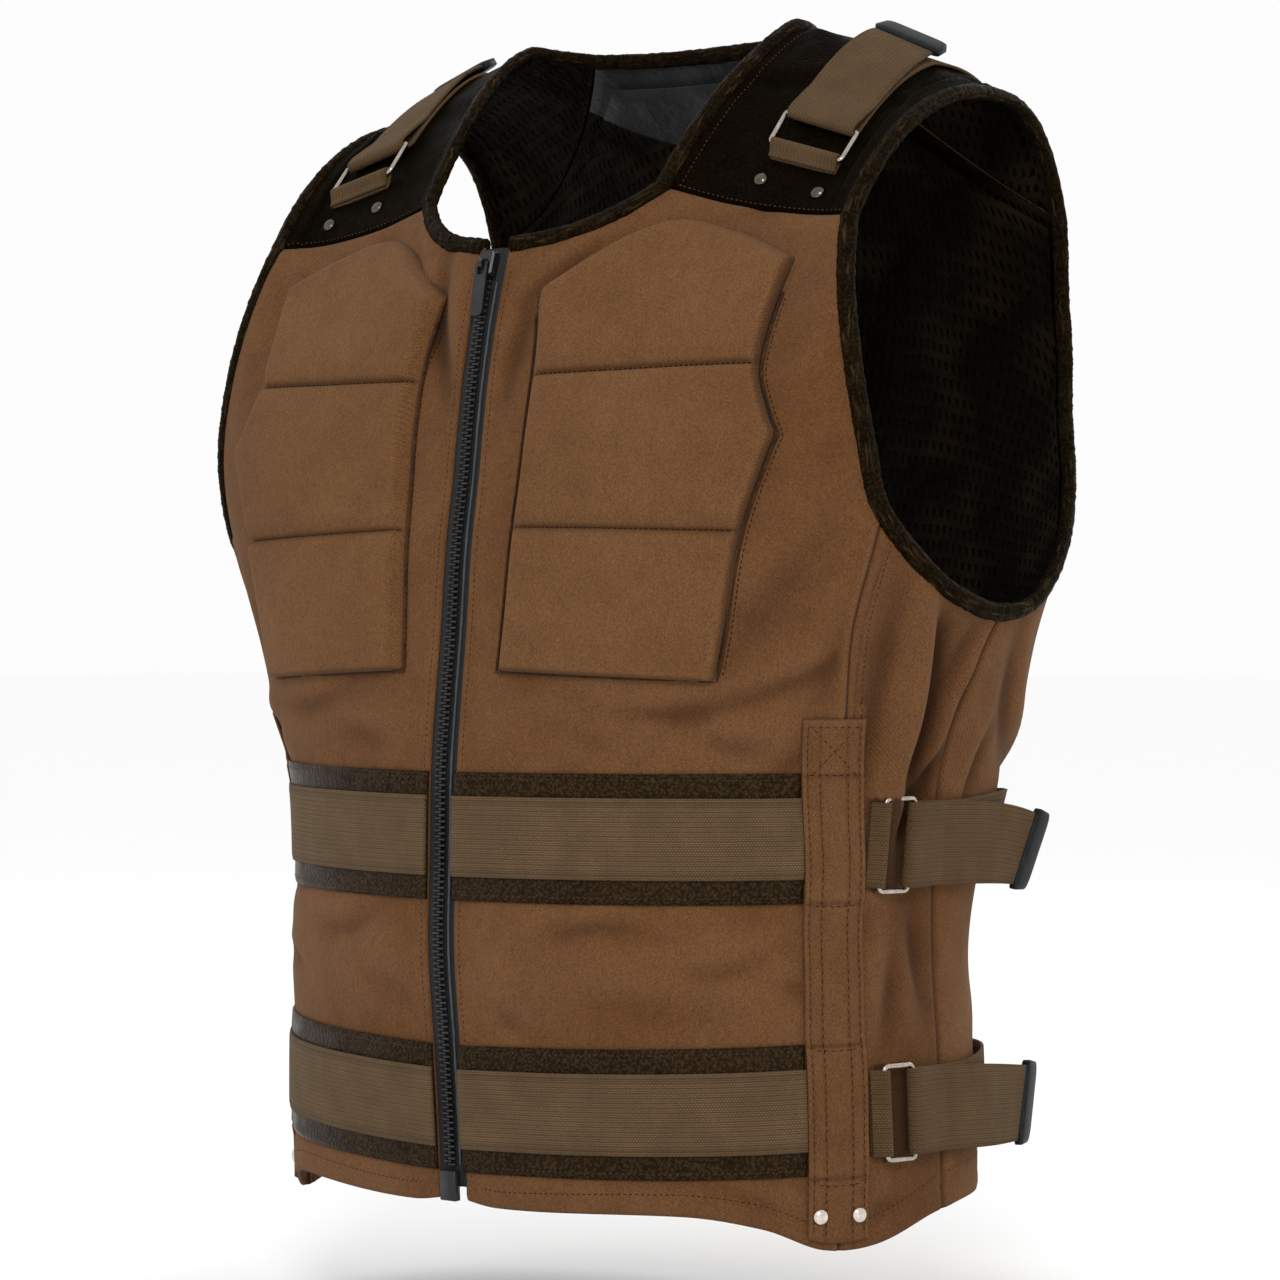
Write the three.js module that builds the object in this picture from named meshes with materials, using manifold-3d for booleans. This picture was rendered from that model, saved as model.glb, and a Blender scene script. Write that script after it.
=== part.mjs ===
// Armored motorcycle vest, worn open-armed and zipped shut, as a hollow garment.
// Millimetres, +Z up, the front faces -Y and the wearer's left is +X.
// The origin is midway between the shoulders at the height where they carry the vest.
import * as THREE from 'three';
import Module from 'manifold-3d';
import { mergeVertices } from 'three/addons/utils/BufferGeometryUtils.js';

const wasm = await Module();
wasm.setup();

// ---------------------------------------------------------------- driving sizes
const CANVAS = 2;           // shell cloth with its lining quilted behind
const LINING = 1.2;         // loose mesh and satin inside the back
const LEATHER = 1.4;        // strips on the waist bands
const WEBBING = 1.6;        // ribbed narrow fabric
const WEB_WIDE = 46;        // width of every webbing strap
const SEAM = 0.3;           // half of the gap that two sewn pieces keep
const LIFT = 1;             // gap between a panel and what is sewn on it
const LINING_GAP = 2.6;     // gap between the back and its loose lining
const LINING_EDGE = 0.95;   // the same gap where the lining is sewn in
const BIND = 3.9;           // half width of the rolled leather binding
const BIND_THICK = 3.1;     // half thickness of the same roll
const BIND_INSET = 5.85;    // how far a bound edge stays back from the roll's middle
const CHEST_Z = -250;       // height where the body sections start to close to the shoulder
const DEGREE_MM = 3.6;      // rough girth of one degree, to space points along an edge
const RAD = Math.PI / 180;

// Body sections from the hem up: height, half width, depth in front of and behind
// the shoulder line, and the squareness of the oval in front and behind.
const SECTIONS = [
  { z: -690, half: 217, front: 162, back: 122, square: 2.35, squareBack: 2.12 },
  { z: -620, half: 216, front: 165.5, back: 120, square: 2.35, squareBack: 2.12 },
  { z: -570, half: 214.5, front: 169.5, back: 116, square: 2.3, squareBack: 2.12 },
  { z: -520, half: 212, front: 174, back: 111, square: 2.25, squareBack: 2.15 },
  { z: -470, half: 214, front: 173, back: 128, square: 2.2, squareBack: 2.25 },
  { z: -424, half: 221, front: 172, back: 146, square: 2.2, squareBack: 2.35 },
  { z: -390, half: 232, front: 169, back: 148, square: 2.4, squareBack: 2.4 },
  { z: -345, half: 248, front: 164, back: 142, square: 2.5, squareBack: 2.35 },
  { z: -300, half: 267, front: 160, back: 145, square: 2.65, squareBack: 2.3 },
  { z: -250, half: 283, front: 152.5, back: 148, square: 2.8, squareBack: 2.5 },
  { z: -200, half: 289, front: 149, back: 150, square: 2.8, squareBack: 2.75 },
  { z: -150, half: 290, front: 148, back: 150, square: 2.8, squareBack: 2.75 },
  { z: 20, half: 290, front: 148, back: 150, square: 2.8, squareBack: 2.75 },
];

// Shoulder line from the neck out: height and depth of its ridge, and how full the
// front and the back are where they climb to it.
const SHOULDER = [
  { x: 0, top: 22, y: 14, front: 1.9, back: 1.8 },
  { x: 50, top: 15, y: 15, front: 1.62, back: 1.9 },
  { x: 100, top: 0, y: 16, front: 1.42, back: 2.0 },
  { x: 150, top: -14, y: 22, front: 1.42, back: 2.2 },
  { x: 190, top: -29, y: 32, front: 1.6, back: 2.6 },
  { x: 215, top: -42, y: 40, front: 2.0, back: 2.9 },
  { x: 260, top: -68, y: 44, front: 2.1, back: 3.0 },
];

// Armhole of the left side, from the front yoke seam down, under the arm and up the
// back: turn around the body from the centre front, and height.
const ARMHOLE = [
  { turn: 42, z: -122 },
  { turn: 45.6, z: -185 },
  { turn: 50.3, z: -248 },
  { turn: 55.5, z: -284 },
  { turn: 67.6, z: -316 },
  { turn: 79.5, z: -331 },
  { turn: 90, z: -336 },
  { turn: 101, z: -332 },
  { turn: 108, z: -322 },
  { turn: 118.5, z: -297 },
  { turn: 128.5, z: -268 },
  { turn: 137, z: -222 },
  { turn: 138.8, z: -165 },
  { turn: 137.8, z: -108 },
];
const SIDE_FRONT_TURN = 55.5;   // where the side-front seam meets the armhole
const SIDE_BACK_TURN = 90;      // where the side/back seam meets the armhole

// Side-front seam from the hem up, and side/back seam, by turn and height.
const SIDE_FRONT = [
  { turn: 62.6, z: -676 },
  { turn: 63.4, z: -571 },
  { turn: 64.3, z: -520 },
  { turn: 63.2, z: -424 },
  { turn: 61, z: -393 },
  { turn: 57.4, z: -345 },
  { turn: SIDE_FRONT_TURN, z: -284 },
];
const SIDE_BACK = [
  { turn: 88, z: -660 },
  { turn: 87, z: -500 },
  { turn: 85, z: -400 },
  { turn: 87, z: -365 },
  { turn: SIDE_BACK_TURN, z: -336 },
];

// Hem height by turn, and the neckline and yoke seams by distance from the middle.
const HEM = [
  { turn: 0, z: -656 },
  { turn: 8, z: -659.5 },
  { turn: 38, z: -655 },
  { turn: 50, z: -660.5 },
  { turn: 60, z: -671.5 },
  { turn: 70, z: -668.5 },
  { turn: 88, z: -650 },
  { turn: 115, z: -645 },
  { turn: 180, z: -645 },
];
const NECK_FRONT = [
  { x: 9, z: -132 },
  { x: 45, z: -126 },
  { x: 70, z: -115 },
  { x: 88, z: -101 },
];
const YOKE_FRONT = [
  { x: 88, z: -101 },
  { x: 134, z: -113 },
  { x: 176, z: -119.5 },
  { x: 214, z: -122 },
];
const YOKE_BACK = [
  { x: 80, z: -3 },
  { x: 122, z: -42 },
  { x: 168, z: -80 },
  { x: 214, z: -108 },
];
const NECK_BACK = [
  { x: 0, z: -4 },
  { x: 45, z: -3.5 },
  { x: 80, z: -3 },
];
// Neck edge of the yoke, from its front seam over the shoulder to its back seam.
const NECK_SIDE = [
  { x: 95, y: -48 },
  { x: 100, y: -18 },
  { x: 101, y: 14 },
  { x: 95, y: 34 },
];

// How the shoulders hang: lift of the top at each armhole, fading to none at the chest.
const HANG = { left: -6, right: 8, x: 214, from: -250, to: -20 };

const ZIP_HALF = 9.6;                     // half of the strip that the zip shows in
const ZIP_TOP = -133;
const TAPE = { inner: 0.5, outer: 9.1, thick: 1.2, bottom: -650 };
const CHAIN = { half: 4.2, thick: 2.6, top: -151, bottom: -641 };
const BOX = { half: 5.8, thick: 4.6, bottom: -657.5 };
const BANDS = [
  { name: 'upper', top: -421, drop: 1.5 },
  { name: 'lower', top: -565.5, drop: 6 },
];
const BAND_TALL = 70;                     // leather, webbing and leather together
const BAND_WEB_TALL = 44;               // webbing that shows between the leather strips
const UPRIGHT = { half: 17.3, top: -392, lead: 6 };  // canvas strap down the side-front seam
const SIDE_STRAPS = [
  { name: 'upper', z: -460, tail: 124, tipHigh: 22, seat: 0.4 },
  { name: 'lower', z: -604, tail: 126, tipHigh: 26, seat: 1.3 },
];
const RING = { wire: 1.5, sideLong: 19, shoulderLong: 23 };  // wire radius, bar to bar
const BAR_AT = 8;                         // from the tab's sewn end to the ring's first bar
const TIP = { long: 14, thick: 5 };
const PAD_LIFT = 1.4;
const PAD_THICK = 8.6;
const PAD_EDGE = 2.6;
const PAD_GROOVE = 4.4;

const COLOURS = {
  canvas: [0x6f472c, 0.9, 0],
  leather: [0x21170c, 0.5, 0],
  webbing: [0x5f4a30, 0.85, 0],
  lining: [0x2c2018, 0.95, 0],
  tape: [0x32373b, 0.9, 0],
  plastic: [0x17191b, 0.5, 0],
  nickel: [0xb9b2a4, 0.3, 1],
};

// ---------------------------------------------------------------- numbers and tables
const mix = (a, b, t) => a + (b - a) * t;

// Reads one column of a table at a value of another, on a smooth curve.
function read(table, by, column, at) {
  const last = table.length - 1;
  if (at <= table[0][by]) return table[0][column];
  if (at >= table[last][by]) return table[last][column];
  let row = 0;
  while (table[row + 1][by] < at) row += 1;
  const slope = (i) => {
    const before = table[Math.max(i - 1, 0)];
    const after = table[Math.min(i + 1, last)];
    return (after[column] - before[column]) / (after[by] - before[by]);
  };
  const from = table[row];
  const to = table[row + 1];
  const span = to[by] - from[by];
  const t = (at - from[by]) / span;
  const curve = 2 * t ** 3 - 3 * t ** 2 + 1;
  return curve * from[column] + (1 - curve) * to[column]
    + span * ((t ** 3 - 2 * t ** 2 + t) * slope(row) + (t ** 3 - t ** 2) * slope(row + 1));
}

// A smooth run through the rows of an edge table, evenly spaced: s to [turn, z].
function run(rows) {
  const points = rows.map(({ turn, z }) => new THREE.Vector3(turn * DEGREE_MM, z, 0));
  const curve = new THREE.CatmullRomCurve3(points, false, 'centripetal');
  curve.arcLengthDivisions = 400;
  return (s) => {
    const p = curve.getPointAt(THREE.MathUtils.clamp(s, 0, 1));
    return [p.x / DEGREE_MM, p.y];
  };
}

// Where along a run its turn reaches a value.
function reach(edge, turn) {
  let low = 0;
  let high = 1;
  for (let i = 0; i < 40; i += 1) {
    const middle = (low + high) / 2;
    if (edge(middle)[0] < turn) low = middle;
    else high = middle;
  }
  return low;
}
const slice = (edge, from, to) => (s) => edge(mix(from, to, s));
const join = (first, second, split) => (s) => (
  s < split ? first(s / split) : second((s - split) / (1 - split)));

// ---------------------------------------------------------------- the body's form
function sectionAt(z) {
  const value = (column) => read(SECTIONS, 'z', column, z);
  return { half: value('half'), front: value('front'), back: value('back'),
    square: value('square'), squareBack: value('squareBack') };
}
function shoulderAt(x) {
  const value = (column) => read(SHOULDER, 'x', column, Math.abs(x));
  return { top: value('top'), y: value('y'), front: value('front'), back: value('back') };
}

// A point of the garment's outer face by turn around the body (degrees) and height.
// Above the chest the front and back lean in until they meet at the shoulder line.
function shell(turn, z) {
  const body = sectionAt(z);
  const sin = Math.sin(turn * RAD);
  const cos = Math.cos(turn * RAD);
  const square = cos > 0 ? body.square : body.squareBack;
  const reachOut = (Math.abs(sin) ** square + Math.abs(cos) ** square) ** (-1 / square);
  const x = body.half * sin * reachOut;
  let y = -(cos > 0 ? body.front : body.back) * cos * reachOut;
  if (z > CHEST_Z) {
    const shoulder = shoulderAt(x);
    const full = y < 0 ? shoulder.front : shoulder.back;
    const rise = Math.min((z - CHEST_Z) / (shoulder.top - CHEST_Z), 1);
    y = mix(shoulder.y, y, (1 - rise ** full) ** (1 / full));
  }
  return new THREE.Vector3(x, y, z);
}
function turnAt(x, z, back = false) {
  const body = sectionAt(z);
  const square = back ? body.squareBack : body.square;
  const across = Math.abs(x) / body.half;
  const turn = Math.atan2(across, (1 - across ** square) ** (1 / square)) / RAD;
  return back ? 180 - turn : turn;
}

// A point of the shoulder's top face by its place seen from above.
function crown(x, y) {
  const shoulder = shoulderAt(x);
  const back = y > shoulder.y;
  const foot = shell(turnAt(x, 0, back), CHEST_Z + 0.001);
  const body = sectionAt(0);
  const square = back ? body.squareBack : body.square;
  const depth = (1 - (Math.abs(x) / body.half) ** square) ** (1 / square);
  foot.y = back ? body.back * depth : -body.front * depth;
  const full = back ? shoulder.back : shoulder.front;
  const out = Math.min(Math.abs((y - shoulder.y) / (foot.y - shoulder.y)), 1);
  const z = mix(CHEST_Z, shoulder.top, (1 - out ** full) ** (1 / full));
  return new THREE.Vector3(x, y, z);
}

// Point, outward normal and both directions of a face at one place.
function frameOn(face, a, b, stepA, stepB) {
  const point = face(a, b);
  const along = face(a + stepA, b).sub(face(a - stepA, b)).normalize();
  const up = face(a, b + stepB).sub(face(a, b - stepB)).normalize();
  const normal = new THREE.Vector3().crossVectors(along, up).normalize();
  return { point, along, up, normal };
}
const onShell = (turn, z) => frameOn(shell, turn, z, 0.2, 0.4);
function onCrown(x, y) {
  const frame = frameOn(crown, x, y, 0.4, 0.4);
  return frame;
}

// ---------------------------------------------------------------- closed meshes
function solidFrom(points, faces) {
  const geometry = new THREE.BufferGeometry();
  const corner = (i) => points[i];
  let volume = 0;
  for (const [a, b, c] of faces) {
    volume += corner(a).dot(new THREE.Vector3().crossVectors(corner(b), corner(c)));
  }
  const index = faces.flatMap(([a, b, c]) => (volume > 0 ? [a, b, c] : [a, c, b]));
  geometry.setAttribute('position', new THREE.Float32BufferAttribute(
    points.flatMap((p) => [p.x, p.y, p.z]), 3));
  geometry.setIndex(index);
  return geometry;
}

// A wall of cloth: a grid of outer points and the same grid moved in.
function wall(outer, inner) {
  const cols = outer.length;
  const rows = outer[0].length;
  const points = [...outer.flat(), ...inner.flat()];
  const at = (i, j, side) => side * cols * rows + i * rows + j;
  const faces = [];
  const quad = (a, b, c, d) => faces.push([a, b, c], [a, c, d]);
  for (let i = 0; i < cols - 1; i += 1) {
    for (let j = 0; j < rows - 1; j += 1) {
      quad(at(i, j, 0), at(i + 1, j, 0), at(i + 1, j + 1, 0), at(i, j + 1, 0));
      quad(at(i, j, 1), at(i, j + 1, 1), at(i + 1, j + 1, 1), at(i + 1, j, 1));
    }
    quad(at(i, 0, 0), at(i, 0, 1), at(i + 1, 0, 1), at(i + 1, 0, 0));
    quad(at(i, rows - 1, 0), at(i + 1, rows - 1, 0), at(i + 1, rows - 1, 1), at(i, rows - 1, 1));
  }
  for (let j = 0; j < rows - 1; j += 1) {
    quad(at(0, j, 0), at(0, j + 1, 0), at(0, j + 1, 1), at(0, j, 1));
    quad(at(cols - 1, j, 0), at(cols - 1, j, 1), at(cols - 1, j + 1, 1), at(cols - 1, j + 1, 0));
  }
  return solidFrom(points, faces);
}

// Rings of points joined one to the next, capped at the ends unless it closes.
function loft(rings, closed = false) {
  const count = rings[0].length;
  const points = rings.flat();
  const faces = [];
  const last = closed ? rings.length : rings.length - 1;
  for (let i = 0; i < last; i += 1) {
    const next = (i + 1) % rings.length;
    for (let j = 0; j < count; j += 1) {
      const k = (j + 1) % count;
      faces.push([i * count + j, next * count + j, next * count + k]);
      faces.push([i * count + j, next * count + k, i * count + k]);
    }
  }
  if (!closed) {
    const end = (rings.length - 1) * count;
    for (let j = 1; j < count - 1; j += 1) {
      faces.push([0, j, j + 1]);
      faces.push([end, end + j + 1, end + j]);
    }
  }
  return solidFrom(points, faces);
}

function mirrored(geometry) {
  const copy = geometry.clone();
  const position = copy.getAttribute('position');
  for (let i = 0; i < position.count; i += 1) position.setX(i, -position.getX(i));
  if (!copy.index) copy.setIndex([...Array(position.count).keys()]);
  const index = [...copy.index.array];
  for (let i = 0; i < index.length; i += 3) {
    [index[i + 1], index[i + 2]] = [index[i + 2], index[i + 1]];
  }
  copy.setIndex(index);
  copy.deleteAttribute('normal');
  copy.deleteAttribute('uv');
  return copy;
}

// ---------------------------------------------------------------- pieces cut by four edges
// Places between four edges, each a function of 0 to 1.
function between({ bottom, top, left, right }) {
  return (s, t) => [0, 1].map((k) => (
    mix(left(t)[k], right(t)[k], s) + mix(bottom(s)[k], top(s)[k], t)
    - mix(mix(bottom(0)[k], bottom(1)[k], s), mix(top(0)[k], top(1)[k], s), t)));
}

// Cuts a piece from a face: frames on a grid, its four edges drawn in by the insets.
function cut(edges, frame, cols, rows, inset = {}) {
  const place = edges.place ?? between(edges);
  const grid = [];
  for (let i = 0; i <= cols; i += 1) {
    grid.push([]);
    for (let j = 0; j <= rows; j += 1) grid[i].push(frame(...place(i / cols, j / rows)));
  }
  const spot = (i, j) => grid[THREE.MathUtils.clamp(i, 0, cols)][THREE.MathUtils.clamp(j, 0, rows)].point;
  const draw = (i, j, ni, nj, amount) => {
    const toward = spot(ni, nj).clone().sub(spot(i, j)).normalize();
    const [di, dj] = ni === i ? [1, 0] : [0, 1];
    const edge = spot(i + di, j + dj).clone().sub(spot(i - di, j - dj)).normalize();
    const slant = Math.max(new THREE.Vector3().crossVectors(toward, edge).length(), 0.4);
    return toward.multiplyScalar(amount / slant);
  };
  const amount = (side, s, t) => {
    const value = inset[side] ?? SEAM;
    return typeof value === 'function' ? value(s, t) : value;
  };
  const moves = grid.map((column, i) => column.map((_, j) => {
    const move = new THREE.Vector3();
    const s = i / cols;
    const t = j / rows;
    if (i === 0) move.add(draw(i, j, 1, j, amount('left', s, t)));
    if (i === cols) move.add(draw(i, j, cols - 1, j, amount('right', s, t)));
    if (j === 0) move.add(draw(i, j, i, 1, amount('bottom', s, t)));
    if (j === rows) move.add(draw(i, j, i, rows - 1, amount('top', s, t)));
    return move;
  }));
  grid.forEach((column, i) => column.forEach((cell, j) => {
    cell.point.add(moves[i][j]);
    if (inset.drop) cell.point.addScaledVector(cell.up, -inset.drop(i, j));
  }));
  return grid;
}

// The wall of a cut piece between two heights over its face.
function clothOf(grid, low, high) {
  const lifted = (height) => grid.map((column, i) => column.map((cell, j) => {
    const lift = typeof height === 'function' ? height(i, j) : height;
    return cell.point.clone().addScaledVector(cell.normal, lift);
  }));
  return wall(lifted(high), lifted(low));
}

const group = new THREE.Group();
// One shoulder hangs lower than the other, as cloth without a wearer does.
function hang(geometry) {
  const position = geometry.getAttribute('position');
  for (let i = 0; i < position.count; i += 1) {
    const x = position.getX(i);
    const z = position.getZ(i);
    const share = THREE.MathUtils.smoothstep(z, HANG.from, HANG.to);
    const lift = (x > 0 ? HANG.left : HANG.right) * (x / HANG.x) ** 2;
    position.setZ(i, z + share * lift);
  }
}
function add(name, geometry, look) {
  hang(geometry);
  const [color, roughness, metalness] = COLOURS[look];
  const mesh = new THREE.Mesh(geometry, new THREE.MeshStandardMaterial({
    color, roughness, metalness, side: THREE.FrontSide }));
  mesh.name = name;
  group.add(mesh);
}
function addPair(name, geometry, look) {
  const other = mirrored(geometry);
  add(`${name}_left`, geometry, look);
  add(`${name}_right`, other, look);
}

// ---------------------------------------------------------------- the cut edges
const hemAt = (turn) => [turn, read(HEM, 'turn', 'z', turn)];
const armhole = run(ARMHOLE);
const sideFront = run(SIDE_FRONT);
const sideBack = run(SIDE_BACK);
const armFrontEnd = reach(armhole, SIDE_FRONT_TURN);
const armBackStart = reach(armhole, SIDE_BACK_TURN);
const zipTurn = (z) => turnAt(ZIP_HALF, z);
const neckFront = (x) => read(NECK_FRONT, 'x', 'z', x);
const yokeFront = (x) => read(YOKE_FRONT, 'x', 'z', x);
const yokeBack = (x) => read(YOKE_BACK, 'x', 'z', x);
const FRONT_FOOT = -657;
const NECK_X = 88;
const NECK_BACK_X = 80;
const ARM_X = 214;

// ---------------------------------------------------------------- shell panels
const FRONT_COLS = 9;
const FRONT_ROWS = 20;
const SEAM_ROW = 13 / FRONT_ROWS;   // share of the front's outer edge that is seam
const NECK_COLUMN = 4 / FRONT_COLS; // share of its top edge that is neckline

function frontTop(s) {
  const x = s < NECK_COLUMN
    ? mix(ZIP_HALF, NECK_X, s / NECK_COLUMN)
    : mix(NECK_X, ARM_X, (s - NECK_COLUMN) / (1 - NECK_COLUMN));
  const z = s < NECK_COLUMN ? neckFront(x) : yokeFront(x);
  return [turnAt(x, z), z];
}
const frontEdges = {
  bottom: (s) => hemAt(mix(zipTurn(FRONT_FOOT), sideFront(0)[0], s)),
  top: frontTop,
  left: (t) => {
    const z = mix(FRONT_FOOT, neckFront(ZIP_HALF), t);
    return [zipTurn(z), z];
  },
  right: join(sideFront, slice(armhole, armFrontEnd, 0), SEAM_ROW),
};
const bound = (from) => (s, t) => (t >= from - 1e-6 ? BIND_INSET : SEAM);
const front = cut(frontEdges, onShell, FRONT_COLS, FRONT_ROWS, {
  right: bound(SEAM_ROW),
  top: (s) => (s < NECK_COLUMN + 1e-6 ? BIND_INSET : SEAM),
});
addPair('front', clothOf(front, -CANVAS, 0), 'canvas');

const SIDE_COLS = 4;
const SIDE_ROWS = 13;
const side = cut({
  bottom: (s) => hemAt(mix(sideFront(0)[0], sideBack(0)[0], s)),
  top: slice(armhole, armFrontEnd, armBackStart),
  left: sideFront,
  right: sideBack,
}, onShell, SIDE_COLS, SIDE_ROWS, { top: BIND_INSET });
addPair('side', clothOf(side, -CANVAS, 0), 'canvas');

const BACK_COLS = 14;
const BACK_ROWS = 20;
const BACK_SEAM_ROW = 10 / BACK_ROWS;
const BACK_BOW = 100;               // how far the rows dip between the armholes
const BACK_NECK = 5 / BACK_COLS;    // share of the back's top that is yoke seam, each side
const backSide = join(sideBack, slice(armhole, armBackStart, 1), BACK_SEAM_ROW);
function backTop(s) {
  const fromSide = Math.min(s, 1 - s);
  const x = fromSide < BACK_NECK
    ? mix(ARM_X, NECK_BACK_X, fromSide / BACK_NECK)
    : mix(NECK_BACK_X, 0, (fromSide - BACK_NECK) / (0.5 - BACK_NECK));
  const z = fromSide < BACK_NECK ? yokeBack(x) : read(NECK_BACK, 'x', 'z', x);
  const turn = turnAt(x, z, true);
  return [s < 0.5 ? turn : 360 - turn, z];
}
const otherSide = (edge) => (t) => {
  const [turn, z] = edge(t);
  return [360 - turn, z];
};
const backEdges = {
  bottom: (s) => {
    const turn = mix(sideBack(0)[0], 180, Math.min(s, 1 - s) * 2);
    return [s < 0.5 ? turn : 360 - turn, hemAt(turn)[1]];
  },
  top: backTop,
  left: backSide,
  right: otherSide(backSide),
};
// Rows of the back dip in the middle, so that they leave the armholes squarely.
function bowed(edges) {
  const level = between(edges);
  return { place: (s, t) => {
    const [turn, z] = level(s, t);
    return [turn, z - BACK_BOW * Math.sin(Math.PI * t) * (1 - (2 * s - 1) ** 2)];
  } };
}
const atArmpit = (amount) => (i, j) => (
  j === BACK_SEAM_ROW * BACK_ROWS && (i === 0 || i === BACK_COLS) ? amount : 0);
const back = cut(bowed(backEdges), onShell, BACK_COLS, BACK_ROWS, {
  left: bound(BACK_SEAM_ROW + 0.01),
  right: bound(BACK_SEAM_ROW + 0.01),
  top: (s) => (Math.min(s, 1 - s) > BACK_NECK - 1e-6 ? BIND_INSET : SEAM),
  drop: atArmpit(BIND_INSET),
});
add('back', clothOf(back, -CANVAS, 0), 'canvas');

// Loose mesh lining behind the back, with the satin stretch at the neck. It is sewn in
// along its edges and hangs away from the back between them.
const liningGrid = cut(bowed({
  bottom: (s) => backEdges.bottom(s).map((v, k) => (k ? v + 22 : v)),
  top: backTop,
  left: backSide,
  right: otherSide(backSide),
}), onShell, BACK_COLS, BACK_ROWS, { left: 9, right: 9, top: 8, drop: atArmpit(4) });
const liningGap = (i, j) => {
  const sewn = i === 0 || i === BACK_COLS;
  return CANVAS + (sewn ? LINING_EDGE : LINING_GAP);
};
add('back_lining', clothOf(liningGrid,
  (i, j) => -liningGap(i, j) - LINING, (i, j) => -liningGap(i, j)), 'lining');

// ---------------------------------------------------------------- leather yokes
const YOKE_COLS = 5;
const YOKE_ROWS = 10;
const seamPoint = (x, z, behind) => {
  const { y } = shell(turnAt(x, z, behind), z);
  return [x, y];
};
function throughPoints(pairs) {
  const curve = new THREE.CatmullRomCurve3(
    pairs.map(([x, y]) => new THREE.Vector3(x, y, 0)), false, 'centripetal');
  return (s) => {
    const p = curve.getPointAt(THREE.MathUtils.clamp(s, 0, 1));
    return [p.x, p.y];
  };
}
const neckSide = throughPoints([
  seamPoint(NECK_X, yokeFront(NECK_X), false),
  ...NECK_SIDE.map(({ x, y }) => [x, y]),
  seamPoint(NECK_BACK_X, yokeBack(NECK_BACK_X), true),
]);
const armTop = throughPoints([
  seamPoint(ARM_X, yokeFront(ARM_X), false),
  [ARM_X, 0],
  [ARM_X, 60],
  seamPoint(ARM_X, yokeBack(ARM_X), true),
]);
const yokeEdges = {
  bottom: (s) => {
    const x = mix(NECK_X, ARM_X, s);
    return seamPoint(x, yokeFront(x), false);
  },
  top: (s) => {
    const x = mix(NECK_BACK_X, ARM_X, s);
    return seamPoint(x, yokeBack(x), true);
  },
  left: neckSide,
  right: armTop,
};
const yoke = cut(yokeEdges, onCrown, YOKE_COLS, YOKE_ROWS, {
  left: BIND_INSET, right: BIND_INSET });
addPair('yoke', clothOf(yoke, -CANVAS, 0), 'leather');

// ---------------------------------------------------------------- rolled bindings
// A roll along an edge: an oval section, set in the face's own directions.
const BIND_SIDES = 6;
function roll(frames, closed) {
  const count = frames.length;
  const rings = frames.map(({ point, normal }, i) => {
    const before = frames[closed ? (i + count - 1) % count : Math.max(i - 1, 0)].point;
    const after = frames[closed ? (i + 1) % count : Math.min(i + 1, count - 1)].point;
    const along = after.clone().sub(before).normalize();
    const flat = new THREE.Vector3().crossVectors(along, normal).normalize();
    const middle = point.clone().addScaledVector(normal, -CANVAS / 2);
    return Array.from({ length: BIND_SIDES }, (_, k) => {
      const angle = (k / BIND_SIDES) * 2 * Math.PI;
      return middle.clone()
        .addScaledVector(flat, BIND * Math.cos(angle))
        .addScaledVector(normal, BIND_THICK * Math.sin(angle));
    });
  });
  return loft(rings, closed);
}
function sample(edge, frame, steps, skipLast) {
  const frames = [];
  for (let i = 0; i < steps + (skipLast ? 0 : 1); i += 1) frames.push(frame(...edge(i / steps)));
  return frames;
}
const armFrames = [
  ...sample(armhole, onShell, 30, true),
  ...sample((s) => armTop(1 - s), onCrown, 10, true),
];
addPair('armhole_binding', roll(armFrames, true), 'leather');

const neckHalf = [
  ...sample((s) => {
    const x = mix(ZIP_HALF + 1, NECK_X, s);
    return [turnAt(x, neckFront(x)), neckFront(x)];
  }, onShell, 6, true),
  ...sample(neckSide, onCrown, 10, true),
  ...sample((s) => {
    const x = mix(NECK_BACK_X, 0, s);
    const z = read(NECK_BACK, 'x', 'z', x);
    return [turnAt(x, z, true), z];
  }, onShell, 5, false),
];
const flip = (v) => new THREE.Vector3(-v.x, v.y, v.z);
const neckOther = neckHalf.slice(0, -1).reverse()
  .map(({ point, normal }) => ({ point: flip(point), normal: flip(normal) }));
add('neck_binding', roll([...neckHalf, ...neckOther], false), 'leather');

// ---------------------------------------------------------------- chest pads
// Padded canvas over a foam plate: edges in from the zip out, by distance and height.
const PAD_INNER = [
  { x: 35, z: -368 },
  { x: 39, z: -290 },
  { x: 41, z: -205 },
  { x: 35, z: -158 },
];
const PAD_OUTER = [
  { x: 162.5, z: -373 },
  { x: 180.5, z: -293 },
  { x: 197.5, z: -243 },
  { x: 184.5, z: -212 },
  { x: 183.5, z: -186 },
  { x: 186.5, z: -147 },
];
const PAD_ROWS = [-368, -330, -290, -262, -234, -207, -180, -158];
const PAD_GROOVES = [2, 5];
const PAD_TOP = [
  { x: 35, z: -158 },
  { x: 98, z: -122 },
  { x: 145, z: -129 },
  { x: 186.5, z: -145 },
];
const PAD_COLS = 8;
const PAD_FLAT = 5 / 7;             // share of the height up to the upper channel
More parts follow.
